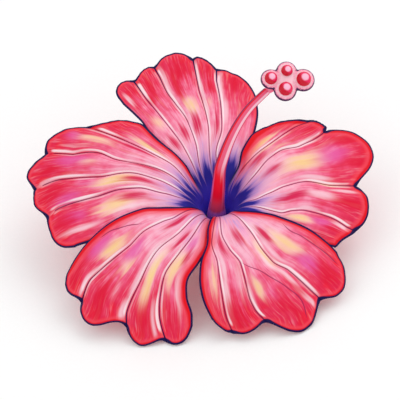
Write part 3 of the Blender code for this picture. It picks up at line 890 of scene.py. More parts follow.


# The pale patches on each petal are painted highlights; the others are pigment.
PETALS = (
    PetalPlan(
        "petal_top",
        folds=(
            ((0, 49.8), (10, 52.7), (15, 51), (22, 52), (37, 60), (45, 64.5), (49, 67.5)),
            ((0, 72), (24, 91), (34, 86), (42, 87), (57, 90)),
            ((0, 90), (22, 99), (36, 96.5), (52, 98.5)),
            ((0, 104), (19, 117), (30, 111), (40, 110), (50, 112), (57, 113), (66, 112.5)),
            ((0, 117), (16, 127), (24, 125), (36, 123), (54, 123), (67, 122)),
            ((0, 136.2), (10, 139), (14, 139.8), (18, 138), (45, 135), (51, 133), (64, 132)),
        ),
        reach=(
            (49.5, 52, 56.5, 60, 61.5, 63, 63.5), (63.5, 64, 65.5, 67.5, 69, 70, 70),
            (70, 71.5, 73.5, 74.5, 74.5, 73, 73), (73, 73, 72.5, 72, 70.5, 69.5, 70.5),
            (70.5, 71, 71.5, 71.5, 70.5, 67.5, 62),
        ),
        puff=(0.6, 1.6, 2.0, 1.5, 0.8), over=(False, False), shine=ShineSide.LOWER,
        throat=(24, 22, 22, 21, 20), bands=(1.0, 1.0, 0.35), pinch=9.0,
        patches=(
            *patches(Pigment.CRIMSON, (128, 34, 7, 3), (116, 36, 7, 3), (105, 37, 9, 4),
                     (90, 36, 10, 2.4)),
            *patches(Pigment.RED, (125, 66, 6, 3.4), (119, 62, 10, 3.6), (121, 56, 6, 3),
                     (105, 64, 11, 8), (108, 56, 9, 4), (94, 61, 9, 3.6), (93, 54, 6, 3), (81, 57, 8, 5)),
            *patches(Pigment.GOLD, (104, 46, 6, 4.4, 0.8), (126, 45, 5, 3, 0.6), (94, 46, 4, 3, 0.5)),
            *patches(Pigment.PALE, (129, 62, 7, 1.6), (122, 60, 6, 1.4), (111.5, 60, 18, 2.2),
                     (111, 47, 10, 1.8), (98, 62, 12, 2), (97, 52, 8, 1.6), (96, 44, 8, 1.8),
                     (88, 53, 18, 3), (85, 44, 12, 3)),
        ),
    ),
    PetalPlan(
        "petal_right",
        folds=(
            ((0, -38.2), (10, -39.8), (18, -45), (26, -36), (34, -31), (45, -30), (58, -25)),
            ((0, -16), (20, -24), (34, -21), (38, -16), (43, -13), (52, -12.5), (60, -14)),
            ((0, 0), (22, -12), (28, -4), (34, 3.5), (42, 6.5), (52, 4), (61, 4.5)),
            ((0, 20), (17, 21), (24, 26), (32, 33.5), (37, 34.5), (45, 31), (50, 31), (59, 33)),
            ((0, 36), (20, 48), (27, 46), (36, 44), (48, 43), (55, 41)),
            ((0, 49.6), (9, 52), (14, 58), (21, 56), (28, 61.5), (34, 61), (40, 56.5)),
        ),
        reach=(
            (58.5, 59, 59.5, 60.5, 62, 63.5, 64), (64, 65, 66.5, 66.5, 66, 64, 62),
            (62, 63.5, 69.5, 72, 69.5, 63.5, 58), (58, 59, 58.5, 58, 57.5, 57, 57),
            (57, 54.5, 50, 47, 44, 41, 40),
        ),
        puff=(0.6, 1.5, 2.0, 1.2, 1.2), over=(False, True), shine=ShineSide.HIGHER,
        throat=(28, 26, 22, 19, 18), bands=(1.2, 2.0, 3.2), pinch=1.5,
        patches=(
            *patches(Pigment.CRIMSON, (40, 28, 8, 2), (22, 31, 8, 3), (-5, 37, 8.5, 3.4)),
            *patches(Pigment.GOLD, (20, 43, 12, 6.4), (49, 34, 8, 3.4), (-19, 42, 7, 2.4),
                     (4, 50, 8, 3, 0.6)),
            *patches(Pigment.ORCHID, (20, 55, 12, 8), (-17, 50, 7, 3.6), (20, 34, 9, 4, 0.5)),
            *patches(Pigment.RED, (14, 65, 12, 8), (24, 62, 9, 6), (-4, 60, 10, 5.4), (-18, 54, 7, 2.8),
                     (37, 53, 8, 2.4)),
            *patches(Pigment.PALE, (1, 56, 10, 1.6), (9, 45, 12, 2.2), (30, 45, 12, 2.2),
                     (-15, 58, 7, 1.8), (-11, 44, 9, 1.8), (-2, 48, 9, 3)),
        ),
    ),
    PetalPlan(
        "petal_left",
        folds=(
            ((0, 136.4), (14, 140), (20, 137.5), (25, 135), (38, 136), (48, 134.5), (52, 136.5)),
            ((0, 148), (17, 156), (22, 151.5), (29, 148), (66, 149)),
            ((0, 161), (20, 166), (25, 161.5), (33, 159), (48, 161), (56, 159.5), (66, 162)),
            ((0, 174), (18, 179.5), (24, 175), (32, 169), (40, 167), (54, 171), (70, 171.5), (82, 173.5)),
            ((0, 187), (22, 188), (28, 184), (38, 177.5), (45, 178), (54, 180.5), (70, 182), (76, 184)),
            ((0, 204.2), (10, 206.8), (18, 213), (24, 209), (32, 203), (42, 201), (55, 201.5), (66, 199.5)),
        ),
        reach=(
            (52, 54, 56.5, 58.5, 61, 64, 67), (67, 68.5, 73, 76, 78.5, 79, 79),
            (79, 78, 80.5, 83.5, 84.5, 82.5, 82), (82, 81.5, 81, 81, 79.5, 77, 76.5),
            (76.5, 76, 75.5, 75, 74, 71, 67),
        ),
        puff=(1.2, 1.8, 2.0, 1.6, 0.5), over=(True, False), shine=ShineSide.LOWER,
        throat=(20, 22, 23, 23, 25), bands=(1.7, 1.3, 1.2), pinch=0.0,
        patches=(
            *patches(Pigment.GOLD, (154, 61, 11, 3.4, 0.8), (146, 41, 10, 2.2), (173, 47, 11, 3.8),
                     (187, 47, 10, 4.4), (165, 59, 6, 2.4, 0.6)),
            *patches(Pigment.CRIMSON, (151, 42, 13, 2.2), (161, 37, 15, 2.4), (172, 38, 14, 2.2),
                     (184, 40, 12, 2.8), (144, 36, 9, 1.8, 0.7)),
            *patches(Pigment.RED, (163, 79, 8, 6), (169, 74, 8, 4), (177, 73, 11, 6), (189, 68, 10, 6),
                     (155, 75, 9, 6)),
            *patches(Pigment.ORCHID, (155, 69, 8, 5), (180, 66, 9, 5), (188, 64, 8, 5), (165, 65, 12, 5),
                     (174, 58, 9, 4, 0.6)),
            *patches(Pigment.PALE, (159, 66, 12, 2.0, 0.4), (172, 75, 10, 1.8, 0.8),
                     (171, 66, 10, 1.5, 0.5), (182, 69, 12, 1.6, 0.6), (181, 59, 8, 1.5),
                     (194, 62, 14, 2.2), (150, 55, 14, 1.6), (190, 42, 10, 2)),
        ),
    ),
    PetalPlan(
        "petal_lower_left",
        folds=(
            ((0, 204.4), (10, 207), (16, 211), (23, 208.5), (30, 200.5), (38, 195.5), (45, 196), (60, 200.5),
             (74, 206.5)),
            ((0, 217), (28, 216.5), (33, 213.5), (40, 212), (49, 214.5), (66, 214.5), (75, 218)),
            ((0, 234), (30, 231.5), (41, 228), (55, 231.5), (66, 233.5), (71, 236)),
            ((0, 248), (28, 244), (38, 241), (46, 239.5), (54, 242), (62, 245.5), (70, 251)),
            ((0, 264.2), (10, 262.4), (18, 262), (31, 262), (38, 257.5), (46, 253), (52, 255),
             (58, 259), (63, 260)),
        ),
        reach=(
            (74, 75, 76.5, 77, 76, 75, 75.5), (75.5, 77, 78.5, 77.5, 73, 70.5, 71.5),
            (71.5, 72.5, 74.5, 75, 72.5, 70, 70.5), (70.5, 70.5, 70.5, 70, 69, 66.5, 62),
        ),
        puff=(1.5, 2.0, 1.8, 0.7), over=(True, False), shine=ShineSide.LOWER,
        throat=(14, 13, 13, 14), bands=(2.2, 1.3, 2.2), pinch=5.0,
        creases=(((39, 208), (45, 204), (48, 203), (52, 202), (57, 203)),),
        patches=(
            *patches(Pigment.CRIMSON, (223, 29, 9, 2.4), (238, 33, 8, 2), (248, 38, 7, 2.4, 0.8)),
            *patches(Pigment.ORCHID, (220, 48, 8, 5), (206, 57, 9, 5), (247, 33, 7, 3),
                     (232, 26, 8, 8, 0.45)),
            *patches(Pigment.GOLD, (210, 54, 7, 4), (234, 49, 12, 3), (243, 43, 10, 2.8),
                     (236, 56, 10, 3, 0.8), (223, 53, 6, 4, 0.6)),
            *patches(Pigment.RED, (209, 70, 10, 4.4), (223, 68, 12, 7), (241, 66, 10, 6.4),
                     (251, 62, 9, 4.6)),
            *patches(Pigment.PALE, (214, 69, 12, 1.8), (215, 62, 10, 1.6), (233, 68, 12, 2.6),
                     (230, 54, 14, 2.4), (245, 66, 12, 1.5), (228, 43, 13, 5, 0.9), (249, 50, 14, 2.2),
                     (226, 62, 9, 3.4, 0.6)),
        ),
    ),
    PetalPlan(
        "petal_lower_right",
        folds=(
            ((0, 264.4), (12, 262), (18, 257), (24, 257), (31, 260), (38, 258), (44, 259),
             (51, 262), (59, 267.5)),
            ((0, 274), (30, 264.5), (38, 270), (48, 272), (57, 273.5), (64, 276)),
            ((0, 286), (26, 275), (33, 280), (40, 286), (52, 285.5), (57, 286.5), (63, 290)),
            ((0, 305), (29, 305.5), (38, 304), (44, 305), (50, 309.5), (64, 313)),
            ((0, 321.6), (12, 320), (20, 319), (24, 324.5), (28, 330.5), (33, 334), (45, 336), (54, 334.5),
             (61, 332.5)),
        ),
        reach=(
            (59, 59.5, 61, 62, 63.5, 64, 64.5), (64.5, 64.5, 65, 64.5, 63.5, 62.5, 63),
            (63, 64.5, 69, 71, 70, 66.5, 66), (66, 66.5, 69, 69, 66.5, 63, 59.5),
        ),
        puff=(1.0, 1.5, 2.2, 1.5), over=(True, True), shine=ShineSide.HIGHER,
        throat=(14, 13, 13, 14), bands=(1.9, 1.3, 1.7), pinch=1.5,
        creases=(
            ((39, 286), (42, 290), (45, 295), (48, 298), (54, 303), (61, 306), (68, 304)),
            ((36, 330), (41, 328), (45, 329), (56, 329), (62, 328)),
        ),
        patches=(
            *patches(Pigment.CRIMSON, (273, 32, 9, 1.9), (290, 30, 8, 2.6), (312, 34, 8, 2.4)),
            *patches(Pigment.GOLD, (302, 40, 10, 2.6), (318, 42, 10, 4.0, 0.9), (291, 50, 6, 3.4, 0.8),
                     (267, 45, 8, 3, 0.55)),
            *patches(Pigment.RED, (279, 59, 10, 6.4), (299, 61, 10, 6), (321, 61, 10, 7),
                     (308, 58, 6, 2.4, 0.7)),
            *patches(Pigment.ORCHID, (319, 53, 8, 6), (296, 54, 6, 3, 0.6)),
            *patches(Pigment.PALE, (275, 50, 12, 2), (274, 41, 10, 1.8), (287, 53, 12, 2.2, 0.7),
                     (301, 43, 10, 2), (307, 51, 10, 2), (309, 62, 10, 1.8), (310, 31, 9, 2),
                     (309, 43, 12, 1.6), (312, 56, 14, 2), (282, 45, 11, 4, 0.7)),
        ),
    ),
)


@dataclass
class Petal(Assembly):
    """One petal: a thin pleated sheet with a scalloped rim, painted point by point.

    Pairs named _from are the distances along the petal between which something sets in.

    seed: a number of its own, which sets its waves and its grain apart from the others'.
    crowding, row_ease: how far the points gather at the folds, and towards the rim.
    puff_roundness, puff_from: how square a lobe's swelling is, and where it sets in.
    side_ease: how the outer lobes flatten towards the petal's sides.
    layer_rise, over_share, rise_from: how far a side lies over its neighbour, the share of
        the width over which that fades, and where it sets in.
    ripples: long waves round the whole flower, as waves per turn, phase and share.
    pleats: fine pleats, as pleats per lobe and their height.
    ruffle: waves at the rim: their height, how fast they turn, and how far in they reach.
    groove: depth and half width of the shallow creases.
    side_start: where along the sides the painted margin starts.
    line_parts: how many parts each step of a line is cut into before gaps are measured to it.
    band_smoothing: over how many of those parts, either way, the band's width is evened.
    margin_line: the dark margin's width, how much that wanders, and how fast.
    notch_swell: how much the dark margin widens into painted shade at a notch, and over what distance.
    fold_line: the half width of the folds' dark line of painted shade in the throat, and what it gains on the
    way out.
    fold_fade: how far from the rim the folds start and end to fade, where they aren't pinched.
    fold_pinch: half width of the pinched line of painted shade far from the rim, and its gain at the rim.
    vein_fade: how far from its start and its end a shallow crease fades.
    fold_highlight_*: the painted highlight beside a fold: its strength on the far side of the
    fold, its offset and half width (each as a start and a gain), where it sets in, how far
    from the rim it ends, and how its strength wanes.
    patch_size: the share of its width and length at which a patch is half as strong.
    degree_mm: what a degree counts as when the point nearest a patch's middle is looked for.
    throat_arch: the share of the indigo's reach at a fold, and its gain in mid lobe.
    over_hold: over what distance and how far indigo holds back from a side that lies on top.
    """

    plan: PetalPlan
    seed: float
    thickness: float = 0.6
    edge_thickness: float = 0.3
    edge_taper: float = 3.0
    lobe_columns: int = 30
    rows: int = 116
    lobe_width: float = 12.0
    crowding: float = 0.08
    row_ease: float = 0.2
    rim_steps: tuple = (0.0, 0.1, 0.3, 0.5, 0.7, 0.9, 1.0)
    rim_roundings: int = 6
    puff_roundness: float = 0.8
    puff_from: tuple = (18.0, 52.0)
    side_ease: float = 1.5
    layer_rise: float = 1.3
    over_share: tuple = (0.15, 0.85)
    rise_from: tuple = (6.0, 12.0)
    ripple_height: float = 0.8
    ripples: tuple = ((5.0, 0.6, 1.0), (11.0, 2.0, 0.6))
    ripples_from: tuple = (25.0, 70.0)
    pleats: tuple = (5.0, 0.07)
    pleats_from: tuple = (20.0, 45.0)
    ruffle: tuple = (0.10, 1.1, 9.0)
    groove: tuple = (0.3, 0.7)
    side_start: float = 6.0
    line_parts: int = 6
    band_smoothing: int = 60
    margin_line: tuple = (0.74, 0.10, 0.011)
    notch_swell: tuple = (0.9, 2.0)
    fold_line: tuple = (0.286, 0.154)
    fold_line_from: tuple = (25.0, 60.0)
    fold_fade: tuple = (5.0, 1.5)
    fold_pinch: tuple = (0.04, 0.56)
    vein_fade: tuple = (4.0, 3.0)
    fold_highlight_dim: float = 0.55
    fold_highlight_offset: tuple = (0.55, 0.50)
    fold_highlight_width: tuple = (0.32, 0.32)
    fold_highlight_growth_from: tuple = (22.0, 72.0)
    fold_highlight_from: tuple = (17.0, 26.0)
    fold_highlight_end: tuple = (1.5, 4.5)
    fold_highlight_wane: tuple = (0.78, 0.22, 0.30)
    patch_size: tuple = (0.62, 0.70)
    patch_softness: float = 0.8
    degree_mm: float = 1.5
    throat_arch: tuple = (0.55, 0.45)
    # Distances along the petal over which the painted light deep in the throat fades out.
    painted_throat_light: tuple = (4.0, 20.0)
    over_hold: tuple = (2.2, 0.55)
    place: np.ndarray = field(init=False, repr=False)
    bearing: np.ndarray = field(init=False, repr=False)
    distance: np.ndarray = field(init=False, repr=False)
    lift: np.ndarray = field(init=False, repr=False)
    rim: np.ndarray = field(init=False, repr=False)
    to_rim: np.ndarray = field(init=False, repr=False)
    lobe_span: np.ndarray = field(init=False, repr=False)
    margin: np.ndarray = field(init=False, repr=False)
    band: np.ndarray = field(init=False, repr=False)
    edge: np.ndarray = field(init=False, repr=False)
    fold_gap: np.ndarray = field(init=False, repr=False)

    def lay_out(self) -> None:
        """Work out each point's lobe place, bearing, distance and lift, as the part does."""
        last = len(self.plan.reach) - 1
        turns = np.linspace(0.0, 1.0, self.lobe_columns + 1)
        crowded = turns - self.crowding * np.sin(2.0 * np.pi * turns)
        steps = np.linspace(0.0, 1.0, self.rows)
        rows = steps * (1.0 + self.row_ease - self.row_ease * steps)
        columns = []
        for lobe, reach in enumerate(self.plan.reach):
            low, high = (np.asarray(self.plan.folds[lobe + i], float) for i in (0, 1))
            rims = smooth_curve(self.rim_steps, reach, crowded)
            for _ in range(self.rim_roundings):
                rims[1:-1] = 0.25 * rims[:-2] + 0.5 * rims[1:-1] + 0.25 * rims[2:]
            for across, rim in list(zip(crowded, rims))[:None if lobe == last else -1]:
                distance = rows * rim
                start = smooth_curve(low[:, 0], low[:, 1], distance)
                end = smooth_curve(high[:, 0], high[:, 1], distance)
                rounding = across ** self.side_ease if lobe == 0 else across
                rounding = 1.0 - (1.0 - across) ** self.side_ease if lobe == last else rounding
                swell = (4.0 * rounding * (1.0 - rounding)) ** self.puff_roundness
                lift = self.plan.puff[lobe] * swell * smooth_step(distance, *self.puff_from)
                bearing = start + (end - start) * across
                place, rim_distance = (np.full(self.rows, value) for value in (lobe + across, rim))
                columns.append(np.stack([place, bearing, distance, lift, rim_distance]))
        self.place, self.bearing, self.distance, self.lift, self.rim = np.stack(columns, axis=1)
        self.to_rim = self.rim - self.distance
        share = (self.bearing - self.bearing[0]) / (self.bearing[-1] - self.bearing[0])
        fade = smooth_step(share, *self.over_share)
        over = self.plan.over[0] * (1.0 - fade) + self.plan.over[1] * fade
        self.lift += self.layer_rise * over * smooth_step(self.distance, *self.rise_from)
        angle = np.radians(self.bearing)
        wave = sum(part * np.sin(count * angle + phase) for count, phase, part in self.ripples)
        self.lift += self.ripple_height * wave * smooth_step(self.distance, *self.ripples_from)

    def measure(self) -> None:
        """Measure each point's distance from the edge and the folds, and each lobe's span."""
        base = self.surface.points(self.bearing, self.distance, self.lift)
        step = np.gradient(base, axis=0) / np.gradient(self.place, axis=0)[..., None]
        self.lobe_span = np.linalg.norm(step, axis=-1)
        start = int(np.searchsorted(self.distance[0], self.side_start))
        fold_columns = self.lobe_columns * np.arange(1, len(self.plan.reach))
        lines = [base[0, start:], base[:, -1], base[-1, start:][::-1]]
        edge = self.densely(np.concatenate(lines))
        band = np.repeat(self.plan.bands, [self.line_parts * len(line) for line in lines])[:len(edge)]
        window = 2 * self.band_smoothing + 1
        band = np.pad(band, self.band_smoothing, mode="edge")
        band = np.convolve(band, np.full(window, 1.0 / window), mode="valid")
        notches = base[fold_columns, -1]
        to_notch = np.min(np.linalg.norm(edge[:, None] - notches[None], axis=-1), axis=1)
        width, wander, pace = self.margin_line
        gain, reach = self.notch_swell
        wandering = wander * np.sin(np.arange(len(edge)) * pace + self.seed * 3.0)
        # The dark margin widens at the notches into painted shade.
        line_width = width + wandering + gain * np.exp(-(to_notch / reach) ** 2)
        self.margin, nearest = self.nearest(base, edge)
        self.band = band[nearest]
        self.edge = self.margin / line_width[nearest]
        folds = np.concatenate([self.densely(base[column]) for column in fold_columns])
        self.fold_gap, _ = self.nearest(base, folds)

    def densely(self, line: np.ndarray) -> np.ndarray:
        """Fill a line with more points, each step cut into line_parts.

        Args:
            line: The line's points.

        Returns:
            The filled line.
        """
        numbers = np.arange(len(line))
        at = np.arange(self.line_parts * (len(line) - 1) + 1) / self.line_parts
        return np.stack([np.interp(at, numbers, line[:, axis]) for axis in range(3)], axis=-1)

    @staticmethod
    def nearest(points: np.ndarray, targets: np.ndarray) -> tuple[np.ndarray, np.ndarray]:
        """Measure how far each point is from the nearest target.

        Args:
            points: The points.
            targets: The target points.

        Returns:
            The distances, and the number of the nearest target.
        """
        tree = KDTree(len(targets))
        for number, target in enumerate(targets):
            tree.insert(target, number)
        tree.balance()
        found = [tree.find(point) for point in points.reshape(-1, 3)]
        gaps = np.array([hit[2] for hit in found]).reshape(points.shape[:-1])
        return gaps, np.array([hit[1] for hit in found]).reshape(points.shape[:-1])

    def veins(self) -> dict[str, np.ndarray]:
        """Measure the side distance from each shallow crease.

        Returns:
            For each of two creases, its side distance, growing fast beyond the crease's ends.
        """
        out_of_reach, least_share = 9.0, 0.02
        found = {}
        for number in (1, 2):
            side = np.full(self.bearing.shape, out_of_reach)
            if number <= len(self.plan.creases):
                at, bearings = np.asarray(self.plan.creases[number - 1], float).T
                side = np.radians(self.bearing - smooth_curve(at, bearings, self.distance))
                side = side * self.surface.read(self.surface.radii, self.bearing, self.distance)
                alive = smooth_step(self.distance, at[0], at[0] + self.vein_fade[0])
                alive = alive * smooth_step(-self.distance, -at[-1], self.vein_fade[1] - at[-1])
                side = side / np.clip(alive, least_share, 1.0)
            # Each shallow crease gets a dark line of painted shade.
            found[f"vein_{number}"] = side
        return found

    def shine_mask(self) -> np.ndarray:
        """Paint the highlight that runs beside each fold, on the side that catches the light.

        Returns:
            How strong the painted highlight is at each point.
        """
        lobe = np.floor(np.clip(self.place, 0.0, len(self.plan.reach) - 1e-6))
        across = self.place - lobe
        towards = across if self.plan.shine is ShineSide.LOWER else 1.0 - across
        outer_lobe = len(self.plan.reach) - 1 if self.plan.shine is ShineSide.LOWER else 0
        bright = smooth_step(towards, 0.45, 0.55) * (lobe != outer_lobe)
        dim = self.fold_highlight_dim * (1.0 - bright) * (lobe != len(self.plan.reach) - 1 - outer_lobe)
        growth = smooth_step(self.distance, *self.fold_highlight_growth_from)
        offset, width = (start + gain * growth for start, gain in (self.fold_highlight_offset, self.fold_highlight_width))
        # A painted highlight, a little off the fold on the side that catches the light.
        fold_highlight = np.exp(-((self.fold_gap - offset) / width) ** 2)
        alive = smooth_step(self.distance, *self.fold_highlight_from) * smooth_step(self.to_rim, *self.fold_highlight_end)
        level, swing, pace = self.fold_highlight_wane
        wane = level + swing * np.sin(self.distance * pace + self.seed + 2.0 * lobe)
        return fold_highlight * (bright + dim) * alive * wane

    def throat_mark(self) -> np.ndarray:
        """Measure how far each point lies beyond the throat's indigo.

        Returns:
            Distances beyond it, below zero inside it.
        """
        lobe = np.clip(self.place, 0.0, len(self.plan.throat) - 1e-6)
        across = lobe - np.floor(lobe)
        reach = np.asarray(self.plan.throat, float)[np.floor(lobe).astype(int)]
        at_fold, gain = self.throat_arch
        arch = at_fold + gain * np.sin(np.pi * across) ** 0.5
        span, share = self.over_hold
        first, last = (np.exp(-((self.place - edge) * self.lobe_span / span) ** 2)
                       for edge in (0.0, float(len(self.plan.reach))))
        hold = 1.0 - share * (self.plan.over[0] * first + self.plan.over[1] * last)
        return self.distance - reach * arch * hold

    def pigment_masks(self) -> dict[str, np.ndarray]:
        """Paint the patches of each pigment, and the pale patches of painted highlight.

        Returns:
            A mask per pigment, by the pigment's name.
        """
        masks = {pigment.value: np.zeros(self.bearing.shape) for pigment in Pigment}
        for patch in self.plan.patches:
            miss = np.abs(self.distance - patch.distance)
            miss = miss + self.degree_mm * np.abs(self.bearing - patch.bearing)
            middle = self.place.ravel()[np.argmin(miss)]
            side = (self.place - middle) * self.lobe_span / (self.patch_size[0] * patch.width)
            ahead = (self.distance - patch.distance) / (self.patch_size[1] * patch.length)
            mask = masks[patch.pigment.value]
            here = patch.strength * np.exp(-self.patch_softness * (side ** 2 + ahead ** 2))
            np.maximum(mask, here, out=mask)
        return masks

    def paint(self, veins: dict[str, np.ndarray]) -> dict[str, np.ndarray]:
        """Paint every mark that the petal tissue reads.

        Args:
            veins: The side distances from the shallow creases.

        Returns:
            The marks by name, for the upper face and then the back.
        """
        width, gain = self.fold_line
        fold_line = width + gain * smooth_step(self.distance, *self.fold_line_from)
        start, end = self.fold_fade
        faded = 3.0 * smooth_step(-self.to_rim, -start, -end) * (self.plan.pinch == 0.0)
        width, gain = self.fold_pinch
        pinched = width + gain * np.exp(-self.to_rim / max(self.plan.pinch, 0.1))
        marks = {
            "along": self.distance / self.rim,
            "band": self.margin / self.band,
            "edge": self.edge,
            # Dark fold lines of painted shade, widest near the notches.
            "crease": self.fold_gap / fold_line + faded,
            "pinch": self.fold_gap / pinched + faded,
            "shine": self.shine_mask(),
            "throat": self.throat_mark(),
            # Painted light deep in the throat, against its shade.
            "depth": 1.0 - smooth_step(self.distance, *self.painted_throat_light),
            **veins,
            **self.pigment_masks(),
        }
        seeds = np.full(self.bearing.shape, 10.0 * self.seed)
        grain = np.stack([self.place * self.lobe_width, self.distance, seeds], axis=-1)
        paint = {name: np.tile(values.ravel(), 2) for name, values in marks.items()}
        paint["under"] = np.repeat([0.0, 1.0], self.bearing.size)
        paint["grain"] = np.tile(grain.reshape(-1, 3), (2, 1))
        return paint

    def build(self, material: Material) -> Object:
        """Build the petal.

        Args:
            material: The petal tissue.

        Returns:
            The petal.
        """
        self.lay_out()
        self.measure()
        veins = self.veins()
        grown = smooth_step(self.distance, *self.pleats_from)
        count, height = self.pleats
        pleat = np.sin(2.0 * np.pi * count * self.place + 1.3 * self.seed) * height
        height, pace, reach = self.ruffle
        ruffle = height * np.sin(self.bearing * pace + self.seed) * smooth_step(-self.to_rim, -reach, 0.0)
        depth, half_width = self.groove
        groove = sum(depth * np.exp(-(side / half_width) ** 2) for side in veins.values())
        lift = self.lift + grown * (pleat - groove) + ruffle * grown
        taper = smooth_step(self.margin, 0.0, self.edge_taper)
        thick = self.edge_thickness + (self.thickness - self.edge_thickness) * taper
        sheets = [self.surface.points(self.bearing, self.distance, height) for height in (lift, lift - thick)]
        points = np.stack(sheets)
        faces = self.sheet_faces(*self.bearing.shape)
        return self.piece(f"{self.plan.name}_sheet", points, faces, self.paint(veins), material,
                          (self.plan.name,), "petal")


COLUMN_END = (18.4, 22.6, 35.0)


@dataclass(frozen=True)
class Stripe:
    """A stripe of colour along the column: its direction round it, and its half width.

    softness: the shares of the half width between which it eases out.
    """

    middle: float
    half_width: float
    softness: tuple = (0.6, 1.3)

    def strength(self, turn: np.ndarray, gain: np.ndarray | float = 0.0) -> np.ndarray:
        """Give how strong the stripe is.

        Args:
            turn: Directions round the column.
            gain: What the half width gains.

        Returns:
            One in the stripe, easing to zero beside it.
        """
        away = np.abs(np.mod(turn - self.middle + 180.0, 360.0) - 180.0)
        start, end = (share * (self.half_width + gain) for share in self.softness)
        return 1.0 - smooth_step(away, start, end)


@dataclass
class Column(Assembly):
    """The staminal column: a tapering tube that arches out of the throat, hollow at its foot.

    route: the middle line's points.
    hollow, outside: radii inside the foot and outside, at distances along the column.
    tip: how far short of the end, and how wide, the last rings are.
    flutes: how many shallow flutes there are, and their depth as a share of the radius.
    low_to, rise, highlight_from, painted_foot_light_to, foot_to: the distances along the column
    between which its red front ends, its upper colours and its painted highlight set in,
    and the brighter red of painted light low down and the pink of its foot, lightened as
    painted light too, end.
    """

    route: tuple = (
        (0.0, 0.0, -21.2), (0.0, 0.0, -14.0), (0.5, 1.0, -1.0), (1.0, 3.0, 10.5), (3.2, 6.3, 19.8),
        (6.4, 10.8, 26.5), (11.0, 16.2, 31.4), (16.2, 21.0, 33.8), COLUMN_END,
    )
    hollow: tuple = ((6.6, 0.7), (5.6, 1.8), (3.5, 2.3), (0.0, 2.3))
    outside: tuple = (
        (0.0, 3.75), (3.6, 3.65), (7.0, 3.4), (10.0, 3.1), (13.0, 2.8), (20.0, 2.55), (30.0, 2.3),
        (40.0, 2.05), (50.0, 1.8), (58.0, 1.6), (64.0, 1.5), (70.0, 1.45),
    )
    tip: tuple = ((0.55, 1.38), (0.25, 1.18), (0.05, 0.9))
    tip_length: float = 0.9
    flutes: tuple = (7.0, 0.012)
    flutes_from: tuple = (8.0, 20.0)
    sides: int = 72
    rings: int = 220
    curve_points: int = 400
    grain_radius: float = 3.0
    left_flank: Stripe = Stripe(192.0, 16.0)
    right_flank: Stripe = Stripe(350.0, 14.0)
    front: Stripe = Stripe(262.0, 47.0)
    upper_left: Stripe = Stripe(214.0, 15.0)
    highlight: Stripe = Stripe(290.0, 6.0)
    highlight_gain: float = 15.0
    right_line: Stripe = Stripe(330.0, 15.0)
    rear: Stripe = Stripe(90.0, 60.0)
    left_outline: Stripe = Stripe(186.0, 21.0)
    right_outline: Stripe = Stripe(352.0, 18.0)
    low_to: tuple = (24.0, 44.0)
    rise: tuple = (18.0, 36.0)
    highlight_from: tuple = (22.0, 42.0)
    painted_foot_light_to: tuple = (9.0, 24.0)
    foot_to: tuple = (7.0, 13.0)

    def paint(self, turn: np.ndarray, height: np.ndarray) -> dict[str, np.ndarray]:
        """Paint the stripes and the foot.

        Args:
            turn: The direction of each point round the column.
            height: The distance of each point along it.

        Returns:
            The marks by name.
        """
        low = 1.0 - smooth_step(height, *self.low_to)
        rise = smooth_step(height, *self.rise)
        flanks = np.maximum(self.left_flank.strength(turn), self.right_flank.strength(turn))
        outlines = np.maximum(self.right_outline.strength(turn), self.left_outline.strength(turn))
        # The pale stripe is a painted highlight.
        pale = self.highlight.strength(turn, self.highlight_gain * rise)
        marks = {
            "flank": flanks * (0.4 + 0.6 * low),
            "core": self.front.strength(turn) * low + self.upper_left.strength(turn) * (1.0 - low),
            "highlight": pale * smooth_step(height, *self.highlight_from),
            # Painted light low on the column.
            "deep": 1.0 - smooth_step(height, *self.painted_foot_light_to),
            "line": self.right_line.strength(turn) * (0.5 + 0.5 * rise) + self.rear.strength(turn) * 0.5,
            # The pink foot, partly painted light.
            "foot": 1.0 - smooth_step(height, *self.foot_to),
            "outline": outlines * (0.3 + 0.6 * rise),
        }
        return {name: values.ravel() for name, values in marks.items()}

    def build(self, material: Material) -> Object:
        """Build the column.

        Args:
            material: The tube's tissue.

        Returns:
            The column.
        """
        fine, walked = self.along_route(self.route, self.curve_points)
        side_ways, back_ways = self.frames(fine)
        length = walked[-1]
        knots, radii = np.asarray(self.outside).T
        body = np.linspace(0.0, length - self.tip_length, self.rings)
        steps = list(self.hollow)
        steps += list(zip(body, smooth_curve(knots, radii, body)))
        steps += [(length - short, radius) for short, radius in self.tip]
        at, radius = np.array(steps).T
        turns = 2.0 * np.pi * np.arange(self.sides) / self.sides
        centre, side, back = (
            np.stack([np.interp(at, walked, line[:, axis]) for axis in range(3)], axis=-1)
            for line in (fine, side_ways, back_ways)
        )
        count, depth = self.flutes
        grown = smooth_step(at, *self.flutes_from)[:, None]
        flutes = 1.0 + depth * np.sin(count * turns)[None, :] * grown
        ring = np.cos(turns)[None, :, None] * side[:, None] + np.sin(turns)[None, :, None] * back[:, None]
        points = centre[:, None] + (radius[:, None] * flutes)[..., None] * ring
        height, turn = np.meshgrid(at, np.degrees(turns), indexing="ij")
        paint = self.paint(turn, height)
        x_place, z_place = (self.grain_radius * np.tile(way(turns), len(at)) for way in (np.cos, np.sin))
        paint["grain"] = np.stack([x_place, height.ravel(), z_place], axis=-1)
        faces = self.ring_faces(len(at), self.sides, flipped=True)
        return self.piece("column_tube", points, faces, paint, material, ("staminal_column",), "column")


@dataclass(frozen=True)
class Pad:
    """One pad of the style head: its offset to the right and back, and its radii."""

    name: str
    right: float
    back: float
    radius: float
    bead: float


